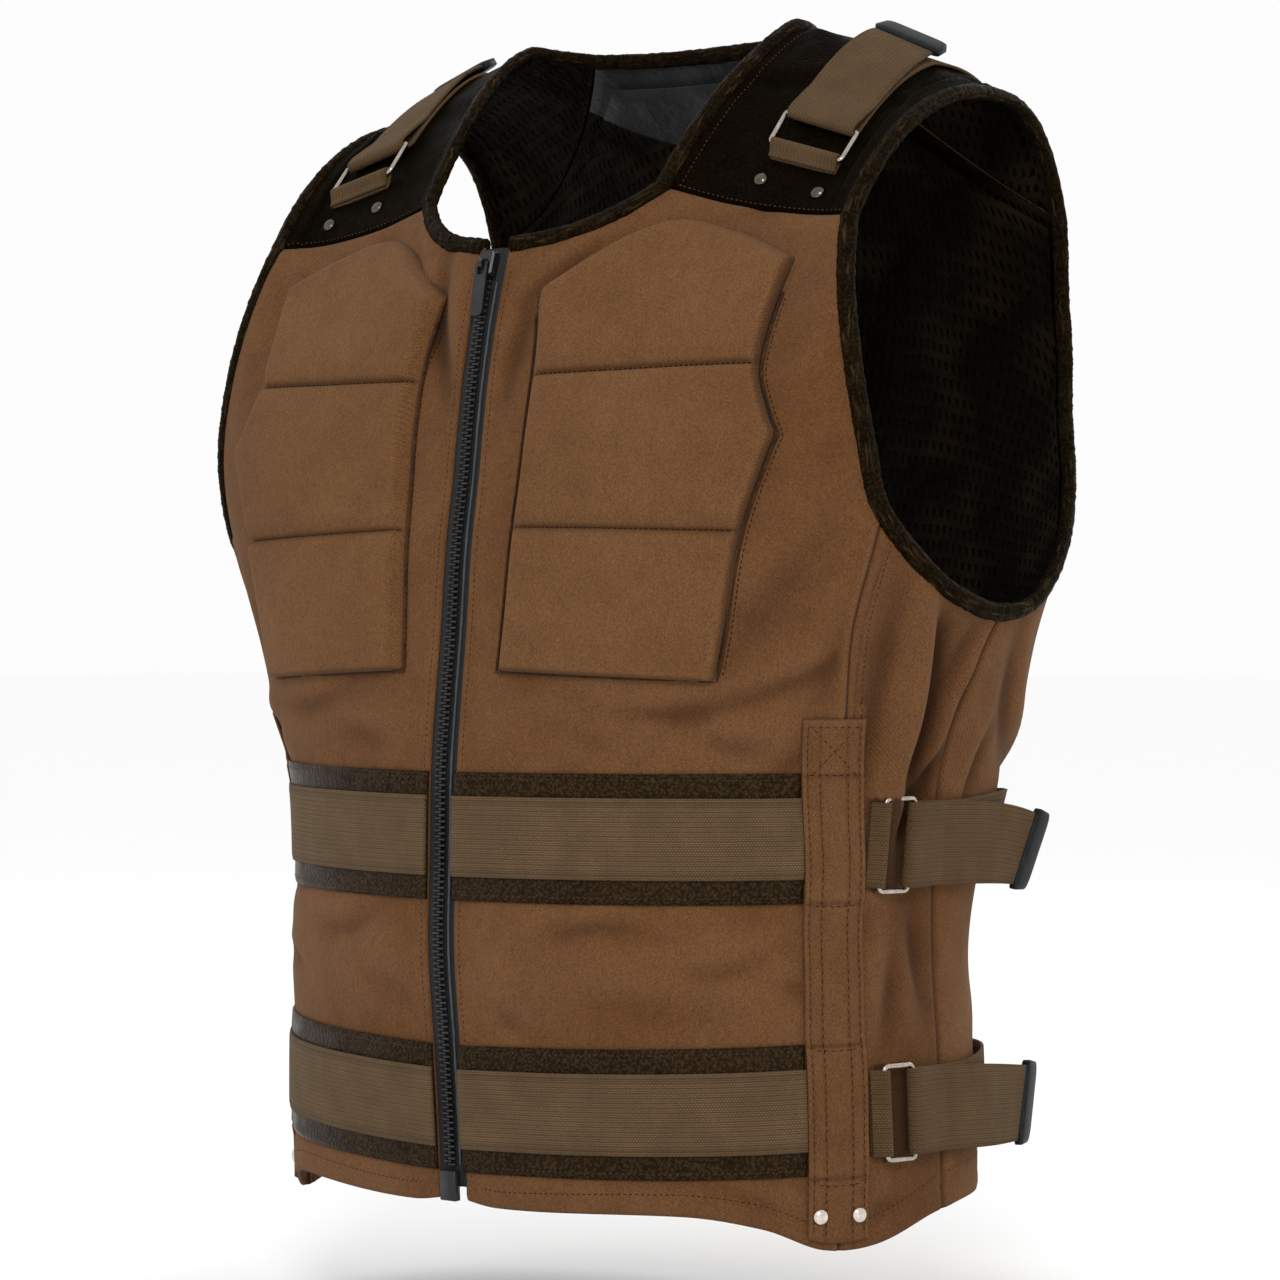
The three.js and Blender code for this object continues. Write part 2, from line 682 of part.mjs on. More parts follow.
const padFrames = Array.from({ length: PAD_COLS + 1 }, (_, i) => {
  const s = i / PAD_COLS;
  return PAD_ROWS.map((level, j) => {
    const t = j / (PAD_ROWS.length - 1);
    const innerX = read([...PAD_INNER], 'z', 'x', level);
    const outerZ = level - 5 * (1 - t) + 12 * t ** 4;
    const outerX = read(PAD_OUTER, 'z', 'x', outerZ);
    const x = mix(innerX, outerX, s);
    const topZ = read(PAD_TOP, 'x', 'z', x);
    const chord = mix(-158, -146, s);
    const rise = Math.max((t - PAD_FLAT) / (1 - PAD_FLAT), 0) ** 1.5;
    const z = mix(level, outerZ, s) + (topZ - chord) * rise;
    return onShell(turnAt(x, z), z);
  });
});
const padHeight = (i, j) => {
  const edge = i === 0 || i === PAD_COLS || j === 0 || j === PAD_ROWS.length - 1;
  if (edge) return PAD_LIFT + PAD_EDGE;
  return PAD_LIFT + (PAD_GROOVES.includes(j) ? PAD_GROOVE : PAD_THICK);
};
addPair('chest_pad', clothOf(padFrames, PAD_LIFT, padHeight), 'canvas');

// ---------------------------------------------------------------- upright canvas straps
const girth = (turn, z) => shell(turn + 0.2, z).distanceTo(shell(turn - 0.2, z)) / 0.4;
function beside(z, distance) {
  const from = seamTurn(z);
  const lead = UPRIGHT.lead * THREE.MathUtils.smoothstep(z, -480, UPRIGHT.top);
  return from + (distance - lead) / girth(from, z);
}
function seamTurn(z) {
  return read(SIDE_FRONT, 'z', 'turn', z);
}
const uprightEdge = (distance) => (t) => {
  const foot = hemAt(beside(-670, distance))[1] + 0.5;
  const z = mix(foot, UPRIGHT.top, t);
  return [beside(z, distance), z];
};
const upright = cut({
  bottom: (s) => uprightEdge(mix(-UPRIGHT.half, UPRIGHT.half, s))(0),
  top: (s) => uprightEdge(mix(-UPRIGHT.half, UPRIGHT.half, s))(1),
  left: uprightEdge(-UPRIGHT.half),
  right: uprightEdge(UPRIGHT.half),
}, onShell, 4, 14, { left: 0, right: 0, top: 0, bottom: 0 });
addPair('upright_strap', clothOf(upright, LIFT, LIFT + CANVAS), 'canvas');

// ---------------------------------------------------------------- waist bands
const BAND_END = UPRIGHT.half + 0.5;
const BAND_SIDE = (BAND_TALL - BAND_WEB_TALL) / 2;
function bandEdges(top, drop, down, tall) {
  const zAt = (s, t) => top - drop * (1 - s) - down - tall * (1 - t);
  const place = (s, t) => {
    const z = zAt(s, t);
    return [mix(turnAt(ZIP_HALF + 1.2, z), beside(z, -BAND_END), s), z];
  };
  return {
    bottom: (s) => place(s, 0),
    top: (s) => place(s, 1),
    left: (t) => place(0, t),
    right: (t) => place(1, t),
  };
}
for (const { name, top, drop } of BANDS) {
  const strip = { left: 0, right: 0, top: 0, bottom: 0 };
  const leather = cut(bandEdges(top, drop, 0, BAND_TALL), onShell, 12, 3, strip);
  const web = cut(
    bandEdges(top, drop, BAND_SIDE, BAND_WEB_TALL), onShell, 12, 2, strip);
  addPair(`waist_leather_${name}`, clothOf(leather, LIFT, LIFT + LEATHER), 'leather');
  const base = 2 * LIFT + LEATHER;
  addPair(`waist_webbing_${name}`, clothOf(web, base, base + WEBBING), 'webbing');
}

// ---------------------------------------------------------------- zip
const strip = (inner, outer, top, bottom) => ({
  bottom: (s) => [turnAt(mix(inner, outer, s), bottom), bottom],
  top: (s) => [turnAt(mix(inner, outer, s), top), top],
  left: (t) => [turnAt(inner, mix(bottom, top, t)), mix(bottom, top, t)],
  right: (t) => [turnAt(outer, mix(bottom, top, t)), mix(bottom, top, t)],
});
const noInset = { left: 0, right: 0, top: 0, bottom: 0 };
const tape = cut(
  strip(TAPE.inner, TAPE.outer, ZIP_TOP, TAPE.bottom), onShell, 1, 20, noInset);
addPair('zip_tape', clothOf(tape, -TAPE.thick - 0.5, -0.5), 'tape');

// Chain and bottom box: one band of moulded plastic on the centre line.
function acrossZip(z, half, low, high) {
  const { point, normal } = onShell(0, z);
  const corner = (x, lift) => point.clone()
    .addScaledVector(normal, lift).add(new THREE.Vector3(x, 0, 0));
  return [corner(-half, low), corner(half, low), corner(half, high), corner(-half, high)];
}
const chainRings = [];
const CHAIN_STEPS = 18;
const CHAIN_LOW = 0.2;
for (let i = 0; i <= CHAIN_STEPS; i += 1) {
  const z = mix(CHAIN.top, CHAIN.bottom, i / CHAIN_STEPS);
  chainRings.push(acrossZip(z, CHAIN.half, CHAIN_LOW, CHAIN.thick));
}
chainRings.push(acrossZip(CHAIN.bottom - 0.2, BOX.half, CHAIN_LOW, BOX.thick));
chainRings.push(acrossZip(BOX.bottom, BOX.half, CHAIN_LOW, BOX.thick));
add('zip_chain', loft(chainRings), 'plastic');

// Slider on the chain's top end, with the bridge that the pull hangs from.
const SLIDER = { long: 15, half: 5.2, low: 0.3, body: 5.2 };
const SLIDER_Z = CHAIN.top + SLIDER.long / 2 + 0.4;
const PULL = { half: 4.4, long: 30, thick: 1.6, bar: 1.9, eye: 6.4, rest: 5.5 };
const BRIDGE = { half: 1.4, hole: 1.55, wall: 1.1 };
const HINGE_DROP = 1.2;                              // hinge below the slider's middle
const HINGE_HIGH = SLIDER.body + BRIDGE.hole + 0.2;  // hinge over the garment's face
const slide = { ...onShell(0, SLIDER_Z), along: new THREE.Vector3(1, 0, 0) };
function onSlider(x, high, up) {
  return slide.point.clone().addScaledVector(slide.along, x)
    .addScaledVector(slide.normal, high).addScaledVector(slide.up, up);
}
const bodyProfile = [
  [SLIDER.low, -SLIDER.long / 2], [SLIDER.body, -SLIDER.long / 2 + 0.8],
  [SLIDER.body, SLIDER.long / 2 - 0.8], [SLIDER.low, SLIDER.long / 2],
];
const sliderBody = loft([-1, -0.8, 0.8, 1].map((k) => bodyProfile.map(([high, up]) => (
  onSlider(k * SLIDER.half, Math.abs(k) === 1 ? Math.min(high, SLIDER.body - 1) : high,
    Math.abs(k) === 1 ? up * 0.88 : up)))));
// The bridge seen from the side: a round hole for the pull's bar in an arch.
const arch = new THREE.Shape();
const archOut = BRIDGE.hole + BRIDGE.wall;
arch.moveTo(-archOut - 1.2, -BRIDGE.hole - 0.9);
arch.lineTo(archOut + 1.2, -BRIDGE.hole - 0.9);
arch.lineTo(archOut, 0);
arch.absarc(0, 0, archOut, 0, Math.PI, false);
arch.closePath();
const archHole = new THREE.Path();
archHole.absarc(0, 0, BRIDGE.hole, 0, 2 * Math.PI, true);
arch.holes.push(archHole);
const archSolid = new THREE.ExtrudeGeometry(arch, {
  depth: 2 * BRIDGE.half, bevelEnabled: false, curveSegments: 6 });
archSolid.translate(0, 0, -BRIDGE.half);
const hinge = onSlider(0, HINGE_HIGH, -HINGE_DROP);
archSolid.applyMatrix4(new THREE.Matrix4().makeBasis(slide.up, slide.normal,
  new THREE.Vector3().crossVectors(slide.up, slide.normal)));
archSolid.translate(hinge.x, hinge.y, hinge.z);

function manifoldOf(source) {
  const plain = source.clone();
  plain.deleteAttribute('normal');
  plain.deleteAttribute('uv');
  const { attributes, index } = mergeVertices(plain, 1e-4);
  return new wasm.Manifold(new wasm.Mesh({
    numProp: 3,
    vertProperties: new Float32Array(attributes.position.array),
    triVerts: new Uint32Array(index.array),
  }));
}
function geometryOf(manifold) {
  const mesh = manifold.getMesh();
  const geometry = new THREE.BufferGeometry();
  geometry.setAttribute('position', new THREE.Float32BufferAttribute(mesh.vertProperties, 3));
  geometry.setIndex([...mesh.triVerts]);
  return geometry;
}
add('zip_slider', geometryOf(manifoldOf(sliderBody).add(manifoldOf(archSolid))), 'plastic');

// The pull: a flat tab hung by its top bar, its lower end resting on the chain.
function pullGeometry() {
  const { half, long } = PULL;
  const top = PULL.bar / 2;
  const outline = new THREE.Shape();
  outline.moveTo(-half + 1, top);
  outline.lineTo(half - 1, top);
  outline.quadraticCurveTo(half, top, half, top - 1);
  outline.lineTo(half, -long + 3);
  outline.quadraticCurveTo(half, -long, half - 3, -long);
  outline.lineTo(-half + 3, -long);
  outline.quadraticCurveTo(-half, -long, -half, -long + 3);
  outline.lineTo(-half, top - 1);
  outline.quadraticCurveTo(-half, top, -half + 1, top);
  const slot = new THREE.Path();
  const side = half - PULL.bar;
  slot.moveTo(-side, -top);
  slot.lineTo(-side, -PULL.eye);
  slot.lineTo(side, -PULL.eye);
  slot.lineTo(side, -top);
  slot.closePath();
  outline.holes.push(slot);
  const geometry = new THREE.ExtrudeGeometry(outline, {
    depth: PULL.thick, bevelEnabled: false, curveSegments: 3 });
  geometry.translate(0, 0, -PULL.thick / 2);
  geometry.rotateX(PULL.rest * RAD);
  return geometry;
}
const pull = pullGeometry();
pull.applyMatrix4(new THREE.Matrix4().makeBasis(slide.along, slide.up, slide.normal));
pull.translate(hinge.x, hinge.y, hinge.z);
add('zip_pull', pull, 'plastic');

// ---------------------------------------------------------------- ring straps
// One webbing set, laid along a way over the vest: `way(a)` gives the frame at a
// millimetres from the tab's sewn end, `along` the way, `across` the webbing.
const WRAP = RING.wire + 0.4 + WEBBING / 2;   // webbing's middle around a bar
const LAY = WEBBING / 2 + LIFT + 0.8;         // middle of the layer on the vest
const RING_HIGH = LAY + WRAP;                 // middle of the ring's wire

// A stop may be pinned to the frame of a bar, and may lean its two edges apart.
function ribbon(stops, way) {
  const middles = stops.map(({ a, high, shift = 0, pin = a }) => {
    const { point, normal, across, ahead } = way(pin);
    return point.clone().addScaledVector(normal, high).addScaledVector(across, shift)
      .addScaledVector(ahead, a - pin);
  });
  const rings = stops.map(({ a, narrow = 0, lean = 0, pin = a }, i) => {
    const { across } = way(pin);
    const ahead = middles[Math.min(i + 1, middles.length - 1)].clone()
      .sub(middles[Math.max(i - 1, 0)]).normalize();
    const thick = new THREE.Vector3().crossVectors(across, ahead).normalize();
    const half = WEB_WIDE / 2 - narrow;
    const corner = (w, t) => middles[i].clone().addScaledVector(across, w * half)
      .addScaledVector(ahead, w * lean).addScaledVector(thick, (t * WEBBING) / 2);
    return [corner(-1, -1), corner(1, -1), corner(1, 1), corner(-1, 1)];
  });
  return loft(rings);
}

// Half turn of webbing around a bar, from under it to over it; `out` is +1 or -1 along the way.
function aroundBar(at, out) {
  return [90, 45, 0, -45, -90].map((degrees) => ({
    a: at + out * WRAP * Math.cos(degrees * RAD),
    high: RING_HIGH - WRAP * Math.sin(degrees * RAD),
    pin: at,
  }));
}

function ringGeometry(way, long) {
  const half = WEB_WIDE / 2 + 0.6 + RING.wire;
  const corner = 2.2;
  const path = [];
  const bars = [[BAR_AT, -1], [BAR_AT + long, 1]];
  const round = [0, 45, 90];
  for (const [sideways, first] of [[1, 0], [-1, 1]]) {
    const order = first ? [...bars].reverse() : bars;
    for (const [at, out] of order) {
      const turns = out * sideways > 0 ? [...round].reverse() : round;
      for (const degrees of turns) {
        const c = Math.cos(degrees * RAD);
        const s = Math.sin(degrees * RAD);
        path.push({
          a: at - out * corner + out * corner * c,
          w: sideways * (half - corner + corner * s),
        });
      }
    }
  }
  const middles = path.map(({ a, w }) => {
    const low = way(BAR_AT);
    const high = way(BAR_AT + long);
    const t = (a - BAR_AT) / long;
    const point = low.point.clone().addScaledVector(low.normal, RING_HIGH)
      .lerp(high.point.clone().addScaledVector(high.normal, RING_HIGH), t);
    return point.addScaledVector(low.across.clone().lerp(high.across, t).normalize(), w);
  });
  const { normal } = way(BAR_AT + long / 2);
  const rings = middles.map((middle, i) => {
    const before = middles[(i + middles.length - 1) % middles.length];
    const after = middles[(i + 1) % middles.length];
    const ahead = after.clone().sub(before).normalize();
    const out = new THREE.Vector3().crossVectors(ahead, normal).normalize();
    const up = new THREE.Vector3().crossVectors(out, ahead).normalize();
    return Array.from({ length: 6 }, (_, k) => {
      const angle = (k / 6) * 2 * Math.PI;
      return middle.clone().addScaledVector(out, RING.wire * Math.cos(angle))
        .addScaledVector(up, RING.wire * Math.sin(angle));
    });
  });
  return loft(rings, true);
}

function strapSet(name, way, {
  ring, tail, tipHigh, anchor, rise, slack, tipTilt, lean, seat, flare,
}) {
  const far = BAR_AT + ring;
  const tab = [
    { a: 0.4, high: LAY + WEBBING + 0.3 },
    { a: BAR_AT - 4.5, high: LAY + WEBBING + 1.2 },
    ...aroundBar(BAR_AT, 1).reverse(),
    { a: BAR_AT - 4.5, high: LAY - 0.3 },
    { a: 0.4, high: LAY - seat },
  ];
  addPair(`${name}_tab`, ribbon(tab, way), 'webbing');
  addPair(`${name}_ring`, ringGeometry(way, ring), 'nickel');
  const steps = 9;
  const under = Array.from({ length: steps + 1 }, (_, i) => {
    const t = i / steps;
    return {
      a: mix(anchor, far + 5, t),
      high: LAY + slack * Math.sin(Math.PI * t) ** 2,
      shift: rise * Math.sin(Math.PI * Math.min(t * 1.3, 1)),
    };
  });
  const over = Array.from({ length: steps + 1 }, (_, i) => {
    const t = i / steps;
    const a = mix(far + 4, tail, t);
    const below = LAY + slack * Math.sin(Math.PI * (anchor - a) / (anchor - far - 5)) ** 2;
    const touch = below + WEBBING + 0.6;
    const start = RING_HIGH + WRAP - 0.4;
    const down = mix(start, touch, Math.min(t * 4, 1));
    return { a, high: mix(down, tipHigh, t ** flare), narrow: 2 * t ** 4, lean: lean * t ** 3 };
  });
  const strap = [...under, ...aroundBar(far, -1), ...over];
  addPair(`${name}_strap`, ribbon(strap, way), 'webbing');

  const end = way(tail + 0.4);
  const before = way(tail - 4);
  const endMiddle = end.point.clone().addScaledVector(end.normal, tipHigh);
  const backMiddle = before.point.clone()
    .addScaledVector(before.normal, tipHigh - 4 * tipTilt);
  const ahead = endMiddle.clone().sub(backMiddle).normalize();
  const { across } = end;
  const thick = new THREE.Vector3().crossVectors(across, ahead).normalize();
  const tipRings = [0, 0.25, 0.75, 1].map((t) => {
    const fat = (t === 0 || t === 1 ? 0.7 : 1) * TIP.thick / 2;
    const half = WEB_WIDE / 2 + (t === 1 ? -1 : 1);
    const middle = endMiddle.clone().addScaledVector(ahead, t * TIP.long);
    const corner = (w, h) => middle.clone().addScaledVector(across, w * half)
      .addScaledVector(ahead, w * lean * 1.1).addScaledVector(thick, h * fat);
    return [corner(-1, -1), corner(1, -1), corner(1, 1), corner(-1, 1)];
  });
  addPair(`${name}_tip`, loft(tipRings), 'plastic');
}

// Around the side: the way starts at the upright strap's rear edge.
function sideWay(z) {
  const start = beside(z, UPRIGHT.half + 1.7);
  const turns = [start];
  const STEP = 2;
  for (let a = 0; a < 260; a += STEP) {
    const turn = turns[turns.length - 1];
    turns.push(turn + STEP / girth(turn, z));
  }
  return (a) => {
    const place = THREE.MathUtils.clamp(a / STEP, 0, turns.length - 2);
    const i = Math.floor(place);
    const { point, along, up, normal } = onShell(mix(turns[i], turns[i + 1], place - i), z);
    return { point, normal, across: up, ahead: along };
  };
}
for (const { name, z, tail, tipHigh, seat } of SIDE_STRAPS) {
  strapSet(`side_${name}`, sideWay(z), {
    ring: RING.sideLong, tail, tipHigh, anchor: 206, rise: 8, slack: 4,
    tipTilt: 0.75, lean: 6, seat, flare: 4 });
}

// Over the shoulder: the way climbs from under the ring to the back yoke seam.
const SHOULDER_X = 166;
const SHOULDER_START = -93;      // height of the tab's sewn end
function shoulderWay() {
  const startY = shell(turnAt(SHOULDER_X, SHOULDER_START), SHOULDER_START).y;
  const places = [startY];
  const STEP = 2;
  for (let a = 0; a < 220; a += STEP) {
    const y = places[places.length - 1];
    const length = crown(SHOULDER_X, y + 0.2).distanceTo(crown(SHOULDER_X, y - 0.2)) / 0.4;
    places.push(y + STEP / length);
  }
  return (a) => {
    const place = THREE.MathUtils.clamp(a / STEP, 0, places.length - 2);
    const i = Math.floor(place);
    const y = mix(places[i], places[i + 1], place - i);
    const { point, along, up, normal } = onCrown(SHOULDER_X, y);
    return { point, normal, across: along, ahead: up };
  };
}
strapSet('shoulder', shoulderWay(), {
  ring: RING.shoulderLong, tail: 118, tipHigh: 7, anchor: 174, rise: 0, slack: 0,
  tipTilt: 0.2, lean: 0, seat: 0.4, flare: 3 });

// ---------------------------------------------------------------- dome rivets
const RIVET = { radius: 4.1, tall: 2.2, sink: 0.3 };
function rivet({ point, normal }, lift) {
  const profile = [[0, 0], [RIVET.radius, 0], [RIVET.radius * 0.92, RIVET.tall * 0.45],
    [RIVET.radius * 0.55, RIVET.tall * 0.9], [0, RIVET.tall]];
  const geometry = new THREE.LatheGeometry(
    profile.map(([r, y]) => new THREE.Vector2(r, y)), 12);
  geometry.applyQuaternion(new THREE.Quaternion().setFromUnitVectors(
    new THREE.Vector3(0, 1, 0), normal));
  const at = point.clone().addScaledVector(normal, lift);
  geometry.translate(at.x, at.y, at.z);
  return geometry;
}
const RIVET_GAP = 0.5;
for (const [name, x, z] of [['inner', 144, -99], ['outer', 183, -108]]) {
  const { y } = shell(turnAt(x, z), z);
  addPair(`yoke_rivet_${name}`, rivet(onCrown(x, y), RIVET_GAP), 'nickel');
}
for (const [name, distance] of [['front', -11], ['rear', 11]]) {
  const z = -657;
  const frame = onShell(beside(z, distance), z);
  addPair(`hem_rivet_${name}`, rivet(frame, LIFT + CANVAS + RIVET_GAP), 'nickel');
}

export default group;
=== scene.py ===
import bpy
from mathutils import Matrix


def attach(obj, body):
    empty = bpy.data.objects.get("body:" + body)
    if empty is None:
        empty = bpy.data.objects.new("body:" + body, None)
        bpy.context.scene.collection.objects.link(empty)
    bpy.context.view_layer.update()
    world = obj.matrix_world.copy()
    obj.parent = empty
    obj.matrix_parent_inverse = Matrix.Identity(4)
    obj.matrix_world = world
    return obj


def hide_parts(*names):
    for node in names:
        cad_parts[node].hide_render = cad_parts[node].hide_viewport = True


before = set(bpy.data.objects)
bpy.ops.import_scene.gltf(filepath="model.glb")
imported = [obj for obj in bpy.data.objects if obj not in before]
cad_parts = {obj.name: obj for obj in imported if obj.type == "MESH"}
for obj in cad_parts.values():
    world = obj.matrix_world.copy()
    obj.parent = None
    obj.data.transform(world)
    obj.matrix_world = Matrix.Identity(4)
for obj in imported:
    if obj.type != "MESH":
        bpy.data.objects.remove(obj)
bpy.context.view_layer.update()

import math

import bmesh
import bpy
import numpy as np
from mathutils import Matrix, Vector
from mathutils.bvhtree import BVHTree

# ---- Camera -------------------------------------------------------------------------
# A long lens stands level with the middle of the vest, turned forty degrees towards the
# wearer's left, far enough away to keep the two shoulders nearly the same size.
VIEW_TURN = math.radians(40)
VIEW_AWAY = 2.3
VIEW_HEIGHT = -0.349
SENSOR = 36
PIXELS = 1280
PIXEL_ON_AXIS = 0.00058         # metres that one pixel covers at the vest's axis
AXIS_SHIFT, HORIZON_SHIFT = -5 / PIXELS, -3 / PIXELS

camera = bpy.data.objects.new("camera", bpy.data.cameras.new("camera"))
bpy.context.scene.collection.objects.link(camera)
bpy.context.scene.camera = camera
camera.location = (math.sin(VIEW_TURN) * VIEW_AWAY, -math.cos(VIEW_TURN) * VIEW_AWAY,
                   VIEW_HEIGHT)
camera.rotation_euler = (math.radians(90), 0, VIEW_TURN)
camera.data.sensor_width = SENSOR
camera.data.lens = SENSOR * VIEW_AWAY / (PIXEL_ON_AXIS * PIXELS)
camera.data.shift_x = AXIS_SHIFT
camera.data.shift_y = HORIZON_SHIFT

# ---- Front panels -------------------------------------------------------------------
# Two pieces of brown brushed cotton twill, quilted to a mesh lining, run from the zip to
# the side-front seam. They take the wearer's form: an oval body that closes in above the
# chest to a ridge on each shoulder. Sizes here are in millimetres until a piece is sewn in.
MM = 0.001
SIDES = ((1, "left"), (-1, "right"))       # the wearer's left lies towards +X
CANVAS_THICK = 2
CHEST = -250
SECTIONS = [
    dict(z=-690, half=217, front=162, back=122, square=2.35, square_back=2.12),
    dict(z=-620, half=216, front=165.5, back=120, square=2.35, square_back=2.12),
    dict(z=-570, half=214.5, front=169.5, back=116, square=2.3, square_back=2.12),
    dict(z=-520, half=212, front=174, back=111, square=2.25, square_back=2.15),
    dict(z=-470, half=214, front=173, back=128, square=2.2, square_back=2.25),
    dict(z=-424, half=221, front=172, back=146, square=2.2, square_back=2.35),
    dict(z=-390, half=232, front=169, back=148, square=2.4, square_back=2.4),
    dict(z=-345, half=248, front=164, back=142, square=2.5, square_back=2.35),
    dict(z=-300, half=267, front=160, back=145, square=2.65, square_back=2.3),
    dict(z=-250, half=283, front=152.5, back=148, square=2.8, square_back=2.5),
    dict(z=-200, half=289, front=149, back=150, square=2.8, square_back=2.75),
    dict(z=-150, half=290, front=148, back=150, square=2.8, square_back=2.75),
    dict(z=20, half=290, front=148, back=150, square=2.8, square_back=2.75),
]
SHOULDER = [
    dict(x=0, top=22, y=14, front=1.9, back=1.8),
    dict(x=50, top=15, y=15, front=1.62, back=1.9),
    dict(x=100, top=0, y=16, front=1.42, back=2.0),
    dict(x=150, top=-14, y=22, front=1.42, back=2.2),
    dict(x=190, top=-29, y=32, front=1.6, back=2.6),
    dict(x=215, top=-42, y=40, front=2.0, back=2.9),
    dict(x=260, top=-68, y=44, front=2.1, back=3.0),
]
ARMHOLE = [
    dict(turn=42, z=-122), dict(turn=45.6, z=-185), dict(turn=50.3, z=-248),
    dict(turn=55.5, z=-284), dict(turn=67.6, z=-316), dict(turn=79.5, z=-331),
    dict(turn=90, z=-336), dict(turn=101, z=-332), dict(turn=108, z=-322),
    dict(turn=118.5, z=-297), dict(turn=128.5, z=-268), dict(turn=137, z=-222),
    dict(turn=138.8, z=-165), dict(turn=137.8, z=-108),
]
SIDE_FRONT_SEAM = [
    dict(turn=62.6, z=-676), dict(turn=63.4, z=-571), dict(turn=64.3, z=-520),
    dict(turn=63.2, z=-424), dict(turn=61, z=-393), dict(turn=57.4, z=-345),
    dict(turn=55.5, z=-284),
]
HEM = [
    dict(turn=0, z=-656), dict(turn=8, z=-659.5), dict(turn=38, z=-655),
    dict(turn=50, z=-660.5), dict(turn=60, z=-671.5), dict(turn=70, z=-668.5),
    dict(turn=88, z=-650), dict(turn=115, z=-645), dict(turn=180, z=-645),
]
NECKLINE = [dict(x=9, z=-132), dict(x=45, z=-126), dict(x=70, z=-115), dict(x=88, z=-101)]
FRONT_YOKE_SEAM = [dict(x=88, z=-101), dict(x=134, z=-113), dict(x=176, z=-119.5),
                   dict(x=214, z=-122)]
NECK_X, ARM_X = 88, 214
NECK_SHARE, SEAM_SHARE = 4 / 9, 13 / 20    # of the top edge, and of the outer edge
FRONT_FOOT = -657
ZIP_HALF = 9.6                             # half of the strip that the zip shows in
LEFT_DROP, RIGHT_LIFT = -6, 8              # how unevenly the two shoulders hang
HANG_FROM, HANG_TO = -250, -20
GIRTH = 3.5                                # rough girth of one degree of turn
HEM_ROW = 11.5                             # how high over the edge the hem is drawn in
FAR_OFF = 99                               # stands for an edge too far away to matter


def curve(rows, by, column):
    """A smooth line through one column of a table, read at values of another."""
    at = np.array([row[by] for row in rows], float)
    value = np.array([row[column] for row in rows], float)
    last = len(rows) - 1
    knot = np.arange(last + 1)
    before, after = np.maximum(knot - 1, 0), np.minimum(knot + 1, last)
    slope = (value[after] - value[before]) / (at[after] - at[before])
    fine = np.linspace(at[0], at[-1], 900)
    i = np.clip(np.searchsorted(at, fine) - 1, 0, last - 1)
    span = at[i + 1] - at[i]
    t = (fine - at[i]) / span
    line = ((2 * t**3 - 3 * t**2 + 1) * value[i] + (3 * t**2 - 2 * t**3) * value[i + 1]
            + span * ((t**3 - 2 * t**2 + t) * slope[i] + (t**3 - t**2) * slope[i + 1]))
    return lambda where: np.interp(where, fine, line)


def length_along(points):
    """How far along a line of points each one lies."""
    return np.concatenate([[0], np.cumsum(np.linalg.norm(np.diff(points, axis=0), axis=-1))])


def read_along(values, length, places):
    """Rows of values that belong to a line, read at places along it."""
    return np.stack([np.interp(places, length, column) for column in values.T], -1)


def run(rows, across=GIRTH):
    """An edge through the rows of a table, evenly spaced: a share to (turn, z)."""
    points = np.array([[row["turn"] * across, row["z"]] for row in rows], float)
    steps = np.sqrt(np.linalg.norm(np.diff(points, axis=0), axis=1))
    knots = [dict(at=a, turn=p[0] / across, z=p[1])
             for a, p in zip(np.concatenate([[0], np.cumsum(steps)]), points)]
    fine = np.linspace(0, knots[-1]["at"], 500)
    line = np.stack([curve(knots, "at", "turn")(fine), curve(knots, "at", "z")(fine)], -1)
    length = length_along(line * (across, 1))
    return lambda share: read_along(line, length / length[-1], share)


section = {name: curve(SECTIONS, "z", name)
           for name in ("half", "front", "back", "square", "square_back")}
ridge = {name: curve(SHOULDER, "x", name) for name in ("top", "y", "front", "back")}
neckline, yoke_seam = curve(NECKLINE, "x", "z"), curve(FRONT_YOKE_SEAM, "x", "z")
hem_height = curve(HEM, "turn", "z")
armhole, side_front = run(ARMHOLE), run(SIDE_FRONT_SEAM)
seam_turn = curve(SIDE_FRONT_SEAM, "z", "turn")


def shell(turn, z):
    """A point of the vest's outer face, by turn round the body from the zip and height."""
    sin, cos = np.sin(np.radians(turn)), np.cos(np.radians(turn))
    square = np.where(cos > 0, section["square"](z), section["square_back"](z))
    out = (np.abs(sin) ** square + np.abs(cos) ** square) ** (-1 / square)
    x = section["half"](z) * sin * out
    y = -np.where(cos > 0, section["front"](z), section["back"](z)) * cos * out
    full = np.where(y < 0, ridge["front"](np.abs(x)), ridge["back"](np.abs(x)))
    rise = np.clip((z - CHEST) / (ridge["top"](np.abs(x)) - CHEST), 0, 1)
    closed = ridge["y"](np.abs(x))
    y = np.where(z > CHEST, closed + (y - closed) * (1 - rise**full) ** (1 / full), y)
    return np.stack(np.broadcast_arrays(x, y, z), -1)


def turn_at(x, z, behind=False):
    """The turn at which the outer face has this distance from the middle."""
    square = section["square_back" if behind else "square"](z)
    across = np.abs(x) / section["half"](z)
    turn = np.degrees(np.arctan2(across, (1 - across**square) ** (1 / square)))
    return 180 - turn if behind else turn


def unit(vectors):
    """The same directions, each of length 1."""
    return vectors / np.linalg.norm(vectors, axis=-1, keepdims=True)


def facing(face, a, b, step_a, step_b):
    """Point, both directions and outward normal of a face at many places."""
    along = unit(face(a + step_a, b) - face(a - step_a, b))
    up = unit(face(a, b + step_b) - face(a, b - step_b))
    return face(a, b), along, up, unit(np.cross(along, up))


def on_shell(turn, z):
    """Point, directions and normal on the outer face."""
    return facing(shell, turn, z, 0.2, 0.4)


